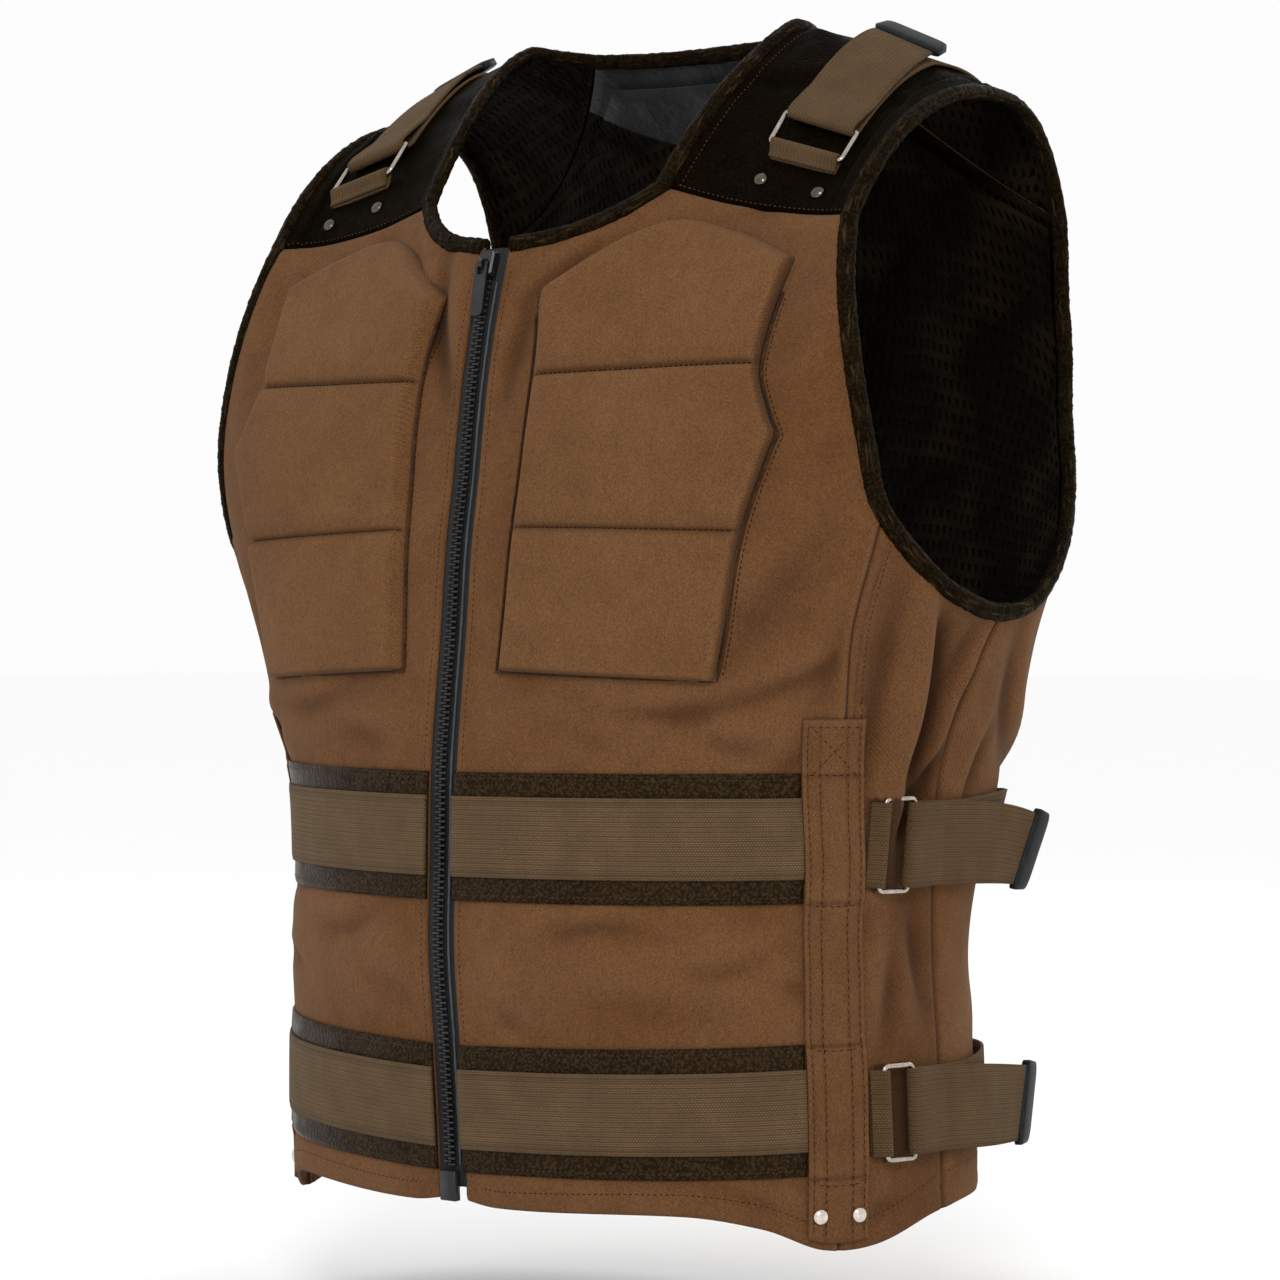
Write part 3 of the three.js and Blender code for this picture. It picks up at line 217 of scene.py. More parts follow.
def standing(turn, z):
    """Points of the outer face and the normals there."""
    point, _, _, normal = on_shell(turn, z)
    return point, normal


def between(bottom, top, left, right):
    """Places between four edges, each a function of a share from 0 to 1."""
    def place(u, v):
        u1, v1 = u[:, None], v[:, None]
        low, high = bottom(u), top(u)
        start, end = bottom(np.zeros(1)), bottom(np.ones(1))
        start_top, end_top = top(np.zeros(1)), top(np.ones(1))
        spot = ((1 - u1) * left(v) + u1 * right(v) + (1 - v1) * low + v1 * high
                - (1 - v1) * ((1 - u1) * start + u1 * end)
                - v1 * ((1 - u1) * start_top + u1 * end_top))
        return spot[:, 0], spot[:, 1]
    return place


def hem_at(turn):
    """A place on the hem's edge."""
    return np.stack([turn, hem_height(turn)], -1)


def joined(first, second, split):
    """Two edges, one after the other."""
    return lambda v: np.where((v < split)[:, None], first(np.clip(v / split, 0, 1)),
                              second(np.clip((v - split) / (1 - split), 0, 1)))


def share_at(edge, turn):
    """Where along an edge its turn reaches a value."""
    fine = np.linspace(0, 1, 800)
    return float(np.interp(turn, edge(fine)[:, 0], fine))


def front_top(u):
    """The front panel's top edge: along the neck, then along the yoke seam."""
    neck = u < NECK_SHARE
    x = np.where(neck, ZIP_HALF + (NECK_X - ZIP_HALF) * u / NECK_SHARE,
                 NECK_X + (ARM_X - NECK_X) * (u - NECK_SHARE) / (1 - NECK_SHARE))
    z = np.where(neck, neckline(x), yoke_seam(x))
    return np.stack([turn_at(x, z), z], -1)


def zip_edge(v):
    """The front panel's edge along the zip, from the foot up."""
    z = FRONT_FOOT + (neckline(ZIP_HALF) - FRONT_FOOT) * v
    return np.stack([turn_at(ZIP_HALF, z), z], -1)


arm_front_end = share_at(armhole, SIDE_FRONT_SEAM[-1]["turn"])
foot_turn = float(side_front(np.zeros(1))[0, 0])
front_place = between(
    lambda u: hem_at(turn_at(ZIP_HALF, FRONT_FOOT) * (1 - u) + foot_turn * u),
    front_top, zip_edge,
    joined(side_front, lambda s: armhole(arm_front_end * (1 - s)), SEAM_SHARE))

# Creases: where, how long, how wide, how deep a valley (or how high, if negative), its tilt
# from level in degrees, and how far its ends bend up. No two are alike.
CREASES_LEFT = [
    dict(turn=36, z=-390, long=46, wide=7, deep=4.16, tilt=4, bend=9),
    dict(turn=45, z=-407, long=26, wide=6, deep=3.04, tilt=-14, bend=3),
    dict(turn=22, z=-402, long=30, wide=10, deep=1.92, tilt=-4, bend=0),
    dict(turn=52, z=-372, long=22, wide=6, deep=2.4, tilt=28, bend=2),
    dict(turn=26, z=-505, long=38, wide=6, deep=3.36, tilt=6, bend=-9),
    dict(turn=46, z=-527, long=34, wide=6, deep=3.68, tilt=9, bend=7),
    dict(turn=12, z=-556, long=16, wide=6, deep=2.4, tilt=-34, bend=0),
    dict(turn=58, z=-536, long=16, wide=6, deep=2.24, tilt=-6, bend=0),
    dict(turn=34, z=-548, long=40, wide=11, deep=2.08, tilt=-3, bend=4),
    dict(turn=5.5, z=-190, long=40, wide=5, deep=2.88, tilt=84, bend=0),
    dict(turn=10, z=-146, long=20, wide=5, deep=2.88, tilt=48, bend=0),
    dict(turn=30, z=-112, long=10, wide=5, deep=1.6, tilt=60, bend=0),
    dict(turn=44, z=-330, long=40, wide=12, deep=1.92, tilt=70, bend=0),
    dict(turn=54, z=-420, long=12, wide=8, deep=2.56, tilt=50, bend=0),
    dict(turn=57, z=-350, long=50, wide=9, deep=1.76, tilt=80, bend=0),
    dict(turn=47, z=-645, long=30, wide=6, deep=2.08, tilt=-24, bend=0),
]
CREASES_RIGHT = [
    dict(turn=30, z=-388, long=42, wide=7, deep=3.52, tilt=-7, bend=6),
    dict(turn=16, z=-404, long=24, wide=7, deep=2.56, tilt=10, bend=-3),
    dict(turn=48, z=-398, long=26, wide=7, deep=3.2, tilt=-16, bend=5),
    dict(turn=22, z=-512, long=34, wide=7, deep=3.68, tilt=-10, bend=6),
    dict(turn=42, z=-534, long=30, wide=6, deep=3.2, tilt=12, bend=-5),
    dict(turn=12, z=-540, long=22, wide=8, deep=1.92, tilt=22, bend=0),
    dict(turn=56, z=-512, long=18, wide=6, deep=2.72, tilt=40, bend=0),
    dict(turn=7, z=-176, long=44, wide=6, deep=5.12, tilt=78, bend=4),
    dict(turn=13, z=-150, long=26, wide=5, deep=3.84, tilt=64, bend=0),
    dict(turn=19, z=-140, long=24, wide=6, deep=2.56, tilt=52, bend=0),
    dict(turn=46, z=-340, long=36, wide=10, deep=2.08, tilt=-70, bend=0),
    dict(turn=55, z=-330, long=40, wide=9, deep=2.24, tilt=-78, bend=0),
    dict(turn=50, z=-640, long=26, wide=6, deep=1.92, tilt=20, bend=0),
]


def ramp(distance, over):
    """From 0 to 1 over a distance."""
    return np.clip(distance / over, 0, 1)


def eased(value, low, high):
    """From 0 to 1 between two values, slowly at both ends."""
    share = ramp(value - low, high - low)
    return share * share * (3 - 2 * share)


def hump(value, middle, wide):
    """A soft rise of height 1 round one value."""
    return np.exp(-((value - middle) / wide) ** 2)


def creased(rows, turn, z):
    """How far the cloth stands off its smooth form at each place, from its creases."""
    stand = np.zeros_like(turn)
    for row in rows:
        girth, height = (turn - row["turn"]) * GIRTH, z - row["z"]
        tilt = math.radians(row["tilt"])
        along = (girth * math.cos(tilt) + height * math.sin(tilt)) / row["long"]
        off = height * math.cos(tilt) - girth * math.sin(tilt) - row["bend"] * along**2
        off = off / row["wide"]
        stand -= (row["deep"] * np.exp(-along**2 * 1.4)
                  * (hump(off, 0, 1) - 0.55 * hump(off, 1.7, 1.2)))
    return stand


def rolled(distance, deep=1.5, wide=1.6):
    """Cloth turns in where it is sewn: how far it drops near an edge."""
    return -deep * hump(np.maximum(distance, 0), 0, wide)


def hemmed(far):
    """The hem rolls in, and its row of stitches draws it down."""
    return rolled(far["bottom"], 0.7, 1.2) - 0.55 * hump(far["bottom"], HEM_ROW, 1.3)


def measured(net):
    """Distances along the cloth to each point of a net, across it and up it."""
    across, length = np.zeros(net.shape[:2]), np.zeros(net.shape[:2])
    across[1:] = np.cumsum(np.linalg.norm(np.diff(net, axis=0), axis=-1), axis=0)
    length[:, 1:] = np.cumsum(np.linalg.norm(np.diff(net, axis=1), axis=-1), axis=1)
    return across, length


def woven(net, side=1, painted_light=None, closed=False):
    """A mesh through a net of points [column, row], with its weave map in metres along the
    cloth and its painted light and shade. `closed` joins its last row to its first."""
    columns, rows = net.shape[:2]
    bm = bmesh.new()
    bmesh.ops.create_grid(bm, x_segments=columns - 1, y_segments=rows - 1, size=0.5)
    share = np.array([v.co[:2] for v in bm.verts]) + 0.5
    order = np.lexsort((share[:, 1].round(6), share[:, 0].round(6)))
    across, length = measured(net)
    weave = np.stack([(across - across[-1:] / 2) * side, length], -1).reshape(-1, 2) * MM
    points = net.reshape(-1, 3) * (side, 1, 1)
    painted_light = np.zeros(len(points)) if painted_light is None else painted_light
    # Painted light and shade: above 0 a painted highlight where the cloth stands out, below 0
    # painted shade in its valleys and grooves.
    painted_light_layer = bm.verts.layers.float.new("painted_light")
    bm.verts.ensure_lookup_table()
    at = np.empty(len(points), int)
    for i, index in enumerate(order):
        bm.verts[index].co = points[i]
        bm.verts[index][painted_light_layer] = painted_light[i]
        at[index] = i
    uv = bm.loops.layers.uv.new("weave")
    for patch in bm.faces:
        for loop in patch.loops:
            loop[uv].uv = weave[at[loop.vert.index]]
    if side < 0:
        bmesh.ops.reverse_faces(bm, faces=bm.faces[:])
    if closed:
        bmesh.ops.remove_doubles(bm, verts=bm.verts[:], dist=0.002)
    return bm


def lay_cloth(place, face, cols, rows, side, lift):
    """A grid of cloth laid on a face. `lift` gives how far it stands off and its painted light
    and shade at each place, from the place and its distances to the four edges along the cloth."""
    u, v = np.meshgrid(np.linspace(0, 1, cols + 1), np.linspace(0, 1, rows + 1),
                       indexing="ij")
    a, b = place(u.ravel(), v.ravel())
    point, _, _, normal = face(a, b)
    net = point.reshape(cols + 1, rows + 1, 3)
    across, length = measured(net)
    far = dict(left=across.ravel(), right=(across[-1:] - across).ravel(),
               bottom=length.ravel(), top=(length[:, -1:] - length).ravel(),
               share=v.ravel())
    stand, painted_light = lift(a, b, far)
    return woven((point + normal * stand[:, None]).reshape(net.shape), side, painted_light)


def hung(points):
    """One shoulder hangs lower than the other, as cloth without a wearer does."""
    uneven = np.where(points[:, 0] > 0, LEFT_DROP, RIGHT_LIFT)
    points[:, 2] += (eased(points[:, 2], HANG_FROM, HANG_TO) * uneven
                     * (points[:, 0] / ARM_X) ** 2)
    return points


def sew_in(name, bm, finishes, stands_for=()):
    """The mesh, in millimetres, becomes a piece of the vest."""
    points = hung(np.array([v.co[:] for v in bm.verts])) * MM
    for vertex, point in zip(bm.verts, points):
        vertex.co = point
    mesh = bpy.data.meshes.new(name)
    bm.to_mesh(mesh)
    bm.free()
    mesh.shade_smooth()
    piece = bpy.data.objects.new(name, mesh)
    bpy.context.scene.collection.objects.link(piece)
    for finish in finishes:
        mesh.materials.append(finish)
    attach(piece, "vest")
    if stands_for:
        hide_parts(*stands_for)
    return piece


def thicken(piece, thick, offset=-1, inner=0):
    """The cloth gets its thickness; `inner` is how much further its inner finish is."""
    wall = piece.modifiers.new("thickness", "SOLIDIFY")
    wall.thickness = thick * MM
    wall.offset = offset
    wall.material_offset = inner
    wall.use_even_offset = False
    return piece


def node(tree, kind, sockets=None, **settings):
    """One node of a finish, with its settings, its values and what feeds it."""
    made = tree.nodes.new("ShaderNode" + kind)
    for name, value in settings.items():
        setattr(made, name, value)
    for name, value in (sockets or {}).items():
        if isinstance(value, bpy.types.NodeSocket):
            tree.links.new(value, made.inputs[name])
        else:
            made.inputs[name].default_value = value
    return made


def begin_finish(name, sockets):
    """A new finish: its node tree and its shader, joined to the output."""
    finish = bpy.data.materials.new(name)
    finish.use_nodes = True
    tree = finish.node_tree
    tree.nodes.clear()
    skin = node(tree, "BsdfPrincipled", sockets)
    node(tree, "OutputMaterial", {"Surface": skin.outputs["BSDF"]})
    return finish, tree, skin


def whereabouts(tree):
    """Where a point lies on its cloth, where in space, and the painted light and shade there."""
    return (node(tree, "UVMap", uv_map="weave").outputs["UV"],
            node(tree, "TexCoord").outputs["Object"],
            node(tree, "Attribute", attribute_name="painted_light").outputs["Fac"])


def mapped(tree, place, scale=(1, 1, 1), turn=0):
    """A place stretched, and turned by some degrees."""
    return node(tree, "Mapping", {"Vector": place, "Scale": scale,
                                  "Rotation": (0, 0, math.radians(turn))}).outputs["Vector"]


def noise(tree, place, scale, detail=2.0, rough=0.5):
    """A cloudy grain, finer as its scale grows."""
    return node(tree, "TexNoise", {"Vector": place, "Scale": scale, "Detail": detail,
                                   "Roughness": rough}).outputs["Fac"]


def toned(colour, share):
    """The same colour, lighter or darker."""
    return tuple(c * share for c in colour[:3]) + (1,)


def blended(tree, share, first, second, kind="MIX"):
    """Two colours mixed by a share."""
    made = node(tree, "Mix", {0: share, 6: first, 7: second}, data_type="RGBA",
                blend_type=kind)
    return made.outputs[2]


def reckoned(tree, how, first, second):
    """Arithmetic on two values."""
    return node(tree, "Math", {0: first, 1: second}, operation=how).outputs[0]


def spread(tree, value, low, high, to_low=0.0, to_high=1.0):
    """A value spread from one range to another."""
    return node(tree, "MapRange", {"Value": value, "From Min": low, "From Max": high,
                                   "To Min": to_low, "To Max": to_high}).outputs["Result"]


def tinted(tree, tone, *steps):
    """A tone mixed with other colours in steps. Each one says by which value, from where to
    where it grows, how strong it gets, and towards which colour."""
    for value, start, full, most, colour in steps:
        tone = blended(tree, spread(tree, value, start, full, 0, most), tone, colour)
    return tone


def embossed(tree, skin, *layers):
    """Relief in layers: the height that each one follows, its metres and its strength."""
    relief = None
    for height, distance, strength in layers:
        made = node(tree, "Bump", {"Height": height, "Distance": distance,
                                   "Strength": strength})
        if relief is not None:
            tree.links.new(relief, made.inputs["Normal"])
        relief = made.outputs["Normal"]
    tree.links.new(relief, skin.inputs["Normal"])


TWILL_PITCH = 0.0014
WAVE_PERIOD = 0.314                        # of a wave texture whose scale is 1, in metres


def canvas_finish(name, body, pale, dark, twill_turn=-47):
    """Brushed cotton twill: diagonal ribs, fuzz, blotchy wear, painted highlight and shade on
    relief.
    """
    finish, tree, skin = begin_finish(name, {
        "Roughness": 0.92, "Specular IOR Level": 0.1, "Sheen Weight": 0.1,
        "Sheen Roughness": 0.6, "Sheen Tint": (0.62, 0.43, 0.28, 1)})
    weave, place, painted_light = whereabouts(tree)
    ribs = node(tree, "TexWave", {"Vector": mapped(tree, weave, turn=twill_turn),
                                  "Scale": WAVE_PERIOD / TWILL_PITCH, "Distortion": 0.8,
                                  "Detail": 1.0, "Detail Scale": 1.4}).outputs["Fac"]
    blotch, cloud = noise(tree, place, 13, 5, 0.62), noise(tree, place, 42, 6, 0.7)
    fuzz, slub = noise(tree, place, 900), noise(tree, mapped(tree, weave, (900, 90, 1)), 1)
    # Blotch and cloud vary the cloth's own tone; the last two steps paint highlights where the
    # cloth stands out and shade in its valleys.
    colour = tinted(tree, body, (blotch, 0.36, 0.72, 0.7, pale), (cloud, 0.46, 0.74, 0.3, dark),
                    (painted_light, 0, 1.4, 0.75, pale), (painted_light, 0, -1.4, 0.95, dark))
    grain = reckoned(tree, "ADD", reckoned(tree, "MULTIPLY", ribs, 0.1),
                     reckoned(tree, "ADD", reckoned(tree, "MULTIPLY", fuzz, 0.6),
                              reckoned(tree, "MULTIPLY", slub, 0.14)))
    shade = spread(tree, grain, 0.27, 0.65, 0.62, 1.38)
    colour = blended(tree, 1.0, colour, node(tree, "CombineXYZ", {
        "X": shade, "Y": shade, "Z": shade}).outputs["Vector"], "MULTIPLY")
    tree.links.new(colour, skin.inputs["Base Color"])
    embossed(tree, skin, (ribs, 0.00007, 1), (fuzz, 0.00018, 0.7), (cloud, 0.0016, 0.5),
             (blotch, 0.006, 0.45))
    return finish


def mesh_lining_finish(name, cloth, slot_shade, hem=None):
    """Dark knitted mesh with staggered upright slots; `hem` is the canvas turned up inside."""
    finish, tree, skin = begin_finish(name, {
        "Roughness": 0.6, "Specular IOR Level": 0.04, "Specular Tint": (1, 0.7, 0.42, 1)})
    weave, place, _ = whereabouts(tree)
    slots = node(tree, "TexBrick", {
        "Vector": mapped(tree, weave, (1, 0.62, 1), 3), "Scale": 1.0, "Bias": 0.0,
        "Mortar Size": 0.0022, "Mortar Smooth": 0.4, "Brick Width": 0.0062,
        "Row Height": 0.0064, "Color1": (1, 1, 1, 1), "Color2": (1, 1, 1, 1),
        "Mortar": (0, 0, 0, 1)}).outputs["Color"]
    patch, threads = noise(tree, place, 22, 4), noise(tree, place, 1100)
    # Patches and threads vary the mesh's own tone; the last step paints highlights on the
    # brightest patches.
    colour = tinted(tree, cloth, (patch, 0.35, 0.7, 0.8, toned(cloth, 0.45)),
                    (threads, 0.3, 0.7, 0.35, toned(cloth, 1.7)),
                    (patch, 0.5, 0.72, 0.75, toned(cloth, 7)))
    # The slots take a near-black colour: painted shade seen through them.
    colour = blended(tree, slots, colour, slot_shade)
    if hem:
        high = node(tree, "SeparateXYZ", {"Vector": weave}).outputs["Y"]
        colour = tinted(tree, colour, (high, 0.0225, 0.0215, 1, hem))
    tree.links.new(colour, skin.inputs["Base Color"])
    embossed(tree, skin, (reckoned(tree, "SUBTRACT", 1.0, slots), 0.0009, 1),
             (threads, 0.00015, 1), (patch, 0.012, 0.8))
    return finish


# The pale and dark browns serve the cloth's uneven tone and also its painted highlights and
# painted shade.
BROWN, BROWN_PALE, BROWN_DARK = ((0.100, 0.0405, 0.0132, 1), (0.142, 0.067, 0.0280, 1),
                                 (0.036, 0.0132, 0.0044, 1))
body_canvas = canvas_finish("body_canvas", BROWN, BROWN_PALE, BROWN_DARK)
# The lining's own dark brown, darkened further as painted shade of the vest's inside; the slots
# are painted shade.
LINING_BROWN_IN_SHADE, HOLE_SHADE = (0.0021, 0.0013, 0.0006, 1), (0.0003, 0.0002, 0.0001, 1)
mesh_lining = mesh_lining_finish("mesh_lining", LINING_BROWN_IN_SHADE, HOLE_SHADE, BROWN)


BANDS = [dict(word="upper", top=-421, drop=1.5), dict(word="lower", top=-565.5, drop=6)]
BAND_TALL = 70
STRAP_HALF, STRAP_FROM = 17.3, -385        # the upright strap lies on the cloth below this
ARM_FOOT = -290                            # the side-front seam starts below this


def under_strap(z, off_seam):
    """Cloth lies flat under the upright strap: from nearly 0 there to 1."""
    return np.where(z < STRAP_FROM, np.clip((off_seam - STRAP_HALF + 2) / 8, 0.05, 1), 1)


def held_flat(z, off_seam):
    """Cloth lies flat under the waist bands too."""
    free = under_strap(z, off_seam)
    for band in BANDS:
        middle = band["top"] - band["drop"] / 2 - BAND_TALL / 2
        free = free * np.clip((np.abs(z - middle) - BAND_TALL / 2 + 1) / 7, 0.05, 1)
    return free


def front_lift(rows):
    """A front panel's creases, puffs, welt at the seam and hem."""
    def lift(turn, z, far):
        # The cloth puffs a little between the pad, the bands and the zip.
        puff = 1.6 * hump(z, -398, 17) + 2.2 * hump(z, -530, 30) + 1.2 * hump(z, -648, 14)
        puff *= ramp(far["left"], 26) * ramp(far["right"] - 12, 22)
        seam = np.where(z < ARM_FOOT, far["right"], FAR_OFF)
        stand = (creased(rows, turn, z) * ramp(far["left"], 9) * ramp(seam, 8)
                 + puff) * held_flat(z, far["right"])
        welt = 1.3 * (hump(seam, 2.2, 1.7) - hump(seam, 0, 0.6))
        fold = 0.5 * (1 - ramp(far["left"], 6))
        # Painted light: shade in the creases' valleys, highlights on their ridges, on the welt
        # and along the hem's edge.
        painted_light = (np.clip(stand / 2.9, -1.3, 0.9) + 0.8 * welt
                + 0.5 * hump(far["bottom"], 1.5, 1.6))
        return (stand + 0.8 * welt + fold + rolled(far["left"], 1.0, 1.2)
                + rolled(far["top"], 0.9, 1.8) + hemmed(far)), painted_light
    return lift


front_faces = {}
for side, word, rows in ((1, "left", CREASES_LEFT), (-1, "right", CREASES_RIGHT)):
    cloth = lay_cloth(front_place, on_shell, 112, 196, side, front_lift(rows))
    front_faces[side] = BVHTree.FromBMesh(cloth)
    panel = sew_in(f"front_panel_{word}", cloth, [body_canvas, mesh_lining],
                   [f"front_{word}"])
    thicken(panel, CANVAS_THICK, inner=1)

# ---- Side panels --------------------------------------------------------------------
# A narrow canvas piece under each arm, between the side-front seam and the slanted seam
# to the back. It hangs loose, so it falls in deep upright folds below the armhole.
SIDE_BACK_SEAM = [
    dict(turn=88, z=-660), dict(turn=87, z=-500), dict(turn=85, z=-400),
    dict(turn=87, z=-365), dict(turn=90, z=-336),
]
STRAP_LEVELS = (-460, -604)                # heights of the two straps at each side
SIDE_CREASES = [
    dict(turn=70.5, z=-372, long=82, wide=10, deep=-8.5, tilt=97, bend=5),
    dict(turn=77.5, z=-392, long=70, wide=8, deep=12.5, tilt=99, bend=7),
    dict(turn=82.5, z=-425, long=40, wide=6, deep=6.5, tilt=60, bend=0),
    dict(turn=84, z=-368, long=30, wide=7, deep=-5.5, tilt=70, bend=0),
    dict(turn=68, z=-505, long=26, wide=9, deep=3.42, tilt=20, bend=3),
    dict(turn=76, z=-540, long=40, wide=9, deep=4.18, tilt=75, bend=4),
    dict(turn=82, z=-520, long=34, wide=7, deep=3.8, tilt=100, bend=0),
    dict(turn=72, z=-655, long=20, wide=6, deep=2.28, tilt=10, bend=0),
]
side_back = run(SIDE_BACK_SEAM)
back_foot_turn = SIDE_BACK_SEAM[0]["turn"]
arm_back_start = share_at(armhole, SIDE_BACK_SEAM[-1]["turn"])
side_place = between(
    lambda u: hem_at(foot_turn * (1 - u) + back_foot_turn * u),
    lambda u: armhole(arm_front_end + (arm_back_start - arm_front_end) * u),
    side_front, side_back)


def side_lift(turn, z, far):
    """A side panel's folds, seams and the shade inside its rings."""
    stand = (creased(SIDE_CREASES, turn, z) * ramp(far["top"], 20) * ramp(far["left"], 8)
             * ramp(far["right"], 8) * under_strap(z, far["left"]))
    row = hump(far["left"], 9, 0.9)
    # Painted shade in valleys, along both seams and in the stitch row, painted highlights on
    # ridges, darker towards the back.
    painted_light = (np.clip(stand / 4.6, -1.6, 0.7) - 0.9 * hump(far["left"], 0, 1.3)
            - 0.7 * hump(far["right"], 0, 1.6) - 0.6 * row - 0.45 * ramp(turn - 73, 9))
    for level in STRAP_LEVELS:             # the shade inside each strap's ring
        painted_light -= 3.0 * (np.abs(z - level) < 25) * np.exp(-((far["left"] - 36) / 11) ** 4)
    return (stand - 0.5 * row + rolled(far["left"], 1.0) + rolled(far["right"], 1.3)
            + hemmed(far)), painted_light


side_faces = {}
for side, word in SIDES:
    cloth = lay_cloth(side_place, on_shell, 60, 140, side, side_lift)
    side_faces[side] = BVHTree.FromBMesh(cloth)
    panel = sew_in(f"side_panel_{word}", cloth, [body_canvas, mesh_lining],
                   [f"side_{word}"])
    thicken(panel, CANVAS_THICK, inner=1)

# ---- Back ---------------------------------------------------------------------------
# One wide canvas piece from side seam to side seam, up to the yoke seams and the back of
# the neck. The waist draws in over the hips and the straps gather it into long creases.
BACK_YOKE_SEAM = [dict(x=80, z=-3), dict(x=122, z=-42), dict(x=168, z=-80),
                  dict(x=214, z=-108)]
NECK_BACK = [dict(x=0, z=-4), dict(x=45, z=-3.5), dict(x=80, z=-3)]
NECK_BACK_X = 80
BACK_ARM_FOOT = -330                       # the seam to the side panel starts below this
BACK_SEAM_SHARE, BACK_NECK_SHARE, BACK_BOW = 0.5, 5 / 14, 100
BACK_CREASES = [
    dict(turn=104, z=-385, long=44, wide=10, deep=4.5, tilt=-60, bend=5),
    dict(turn=118, z=-418, long=52, wide=10, deep=3.9, tilt=-32, bend=0),
    dict(turn=97, z=-420, long=30, wide=7, deep=3.6, tilt=70, bend=0),
    dict(turn=140, z=-440, long=60, wide=12, deep=3.3, tilt=-12, bend=6),
    dict(turn=176, z=-462, long=70, wide=13, deep=2.7, tilt=4, bend=-6),
    dict(turn=222, z=-446, long=58, wide=11, deep=3.9, tilt=16, bend=7),
    dict(turn=244, z=-410, long=50, wide=10, deep=3.45, tilt=38, bend=0),
    dict(turn=256, z=-380, long=40, wide=9, deep=3.9, tilt=64, bend=-4),
    dict(turn=128, z=-560, long=52, wide=12, deep=3, tilt=24, bend=5),
    dict(turn=160, z=-540, long=60, wide=14, deep=2.4, tilt=-8, bend=4),
    dict(turn=205, z=-575, long=54, wide=12, deep=2.85, tilt=-20, bend=-5),
    dict(turn=236, z=-545, long=40, wide=9, deep=3.45, tilt=-42, bend=0),
    dict(turn=150, z=-200, long=90, wide=15, deep=2.4, tilt=76, bend=0),
    dict(turn=208, z=-230, long=80, wide=14, deep=2.55, tilt=-80, bend=6),
    dict(turn=180, z=-320, long=60, wide=16, deep=1.5, tilt=20, bend=5),
]
back_yoke_seam = curve(BACK_YOKE_SEAM, "x", "z")
neck_back = curve(NECK_BACK, "x", "z")
arm_behind = lambda s: armhole(arm_back_start + (1 - arm_back_start) * s)
back_side = joined(side_back, arm_behind, BACK_SEAM_SHARE)


def across_back(edge):
    """The same edge on the wearer's right."""
    def mirrored_edge(v):
        spot = edge(v).copy()
        spot[:, 0] = 360 - spot[:, 0]
        return spot
    return mirrored_edge


def back_top(u):
    """The back's top edge: one yoke seam, the neck, the other yoke seam."""
    inward = np.minimum(u, 1 - u)
    seam = inward < BACK_NECK_SHARE
    x = np.where(seam, ARM_X + (NECK_BACK_X - ARM_X) * inward / BACK_NECK_SHARE,
                 NECK_BACK_X * (0.5 - inward) / (0.5 - BACK_NECK_SHARE))
    z = np.where(seam, back_yoke_seam(x), neck_back(x))
    turn = turn_at(x, z, True)
    return np.stack([np.where(u < 0.5, turn, 360 - turn), z], -1)


def back_bottom(u):
    """The back's hem, from side seam to side seam."""
    turn = back_foot_turn + (180 - back_foot_turn) * np.minimum(u, 1 - u) * 2
    return np.stack([np.where(u < 0.5, turn, 360 - turn), hem_height(turn)], -1)


def back_place_from(bottom):
    """Places of the back, its level rows bowed down in the middle."""
    level = between(bottom, back_top, back_side, across_back(back_side))
    def place(u, v):
        turn, z = level(u, v)
        return turn, z - BACK_BOW * np.sin(math.pi * v) * (1 - (2 * u - 1) ** 2)
    return place


def back_lift(turn, z, far):
    """The back's creases, seams and hem."""
    side_gap = np.minimum(far["left"], far["right"])
    stand = creased(BACK_CREASES, turn, z) * ramp(side_gap, 12)
    seam = np.where(z < BACK_ARM_FOOT, side_gap, FAR_OFF)
    # Painted shade in the creases' valleys and along the side seams, painted highlights on their
    # ridges.
    painted_light = np.clip(stand / 3, -1, 0.8) - 0.7 * hump(seam, 0, 1.6)
    return stand + rolled(seam, 1.3) + rolled(far["top"], 0.8, 1.8) + hemmed(far), painted_light


cloth = lay_cloth(back_place_from(back_bottom), on_shell, 140, 156, 1, back_lift)
back_faces = BVHTree.FromBMesh(cloth)
back_panel = sew_in("back_panel", cloth, [body_canvas, mesh_lining], ["back"])
thicken(back_panel, CANVAS_THICK, inner=1)

# ---- Back lining --------------------------------------------------------------------
# Loose dark mesh hangs inside the back, sewn in at its edges, with a stretch of grey
# satin below the neck. It follows the creases of the back and bags a little between.
LINING_GAP, LINING_EDGE, LINING_THICK, LINING_HEM = 2.6, 0.95, 1.2, 22
LINING_IN = 0.016                          # how far inside the back's edges, as a share
SATIN_DEEP = 58


def lining_place(u, v):
    """Places of the loose lining, a little inside the back's edges."""
    def bottom(share):
        spot = back_bottom(share)
        spot[:, 1] += LINING_HEM
        return spot
    return back_place_from(bottom)(
        LINING_IN + (1 - 2 * LINING_IN) * u, (1 - 0.75 * LINING_IN) * v)


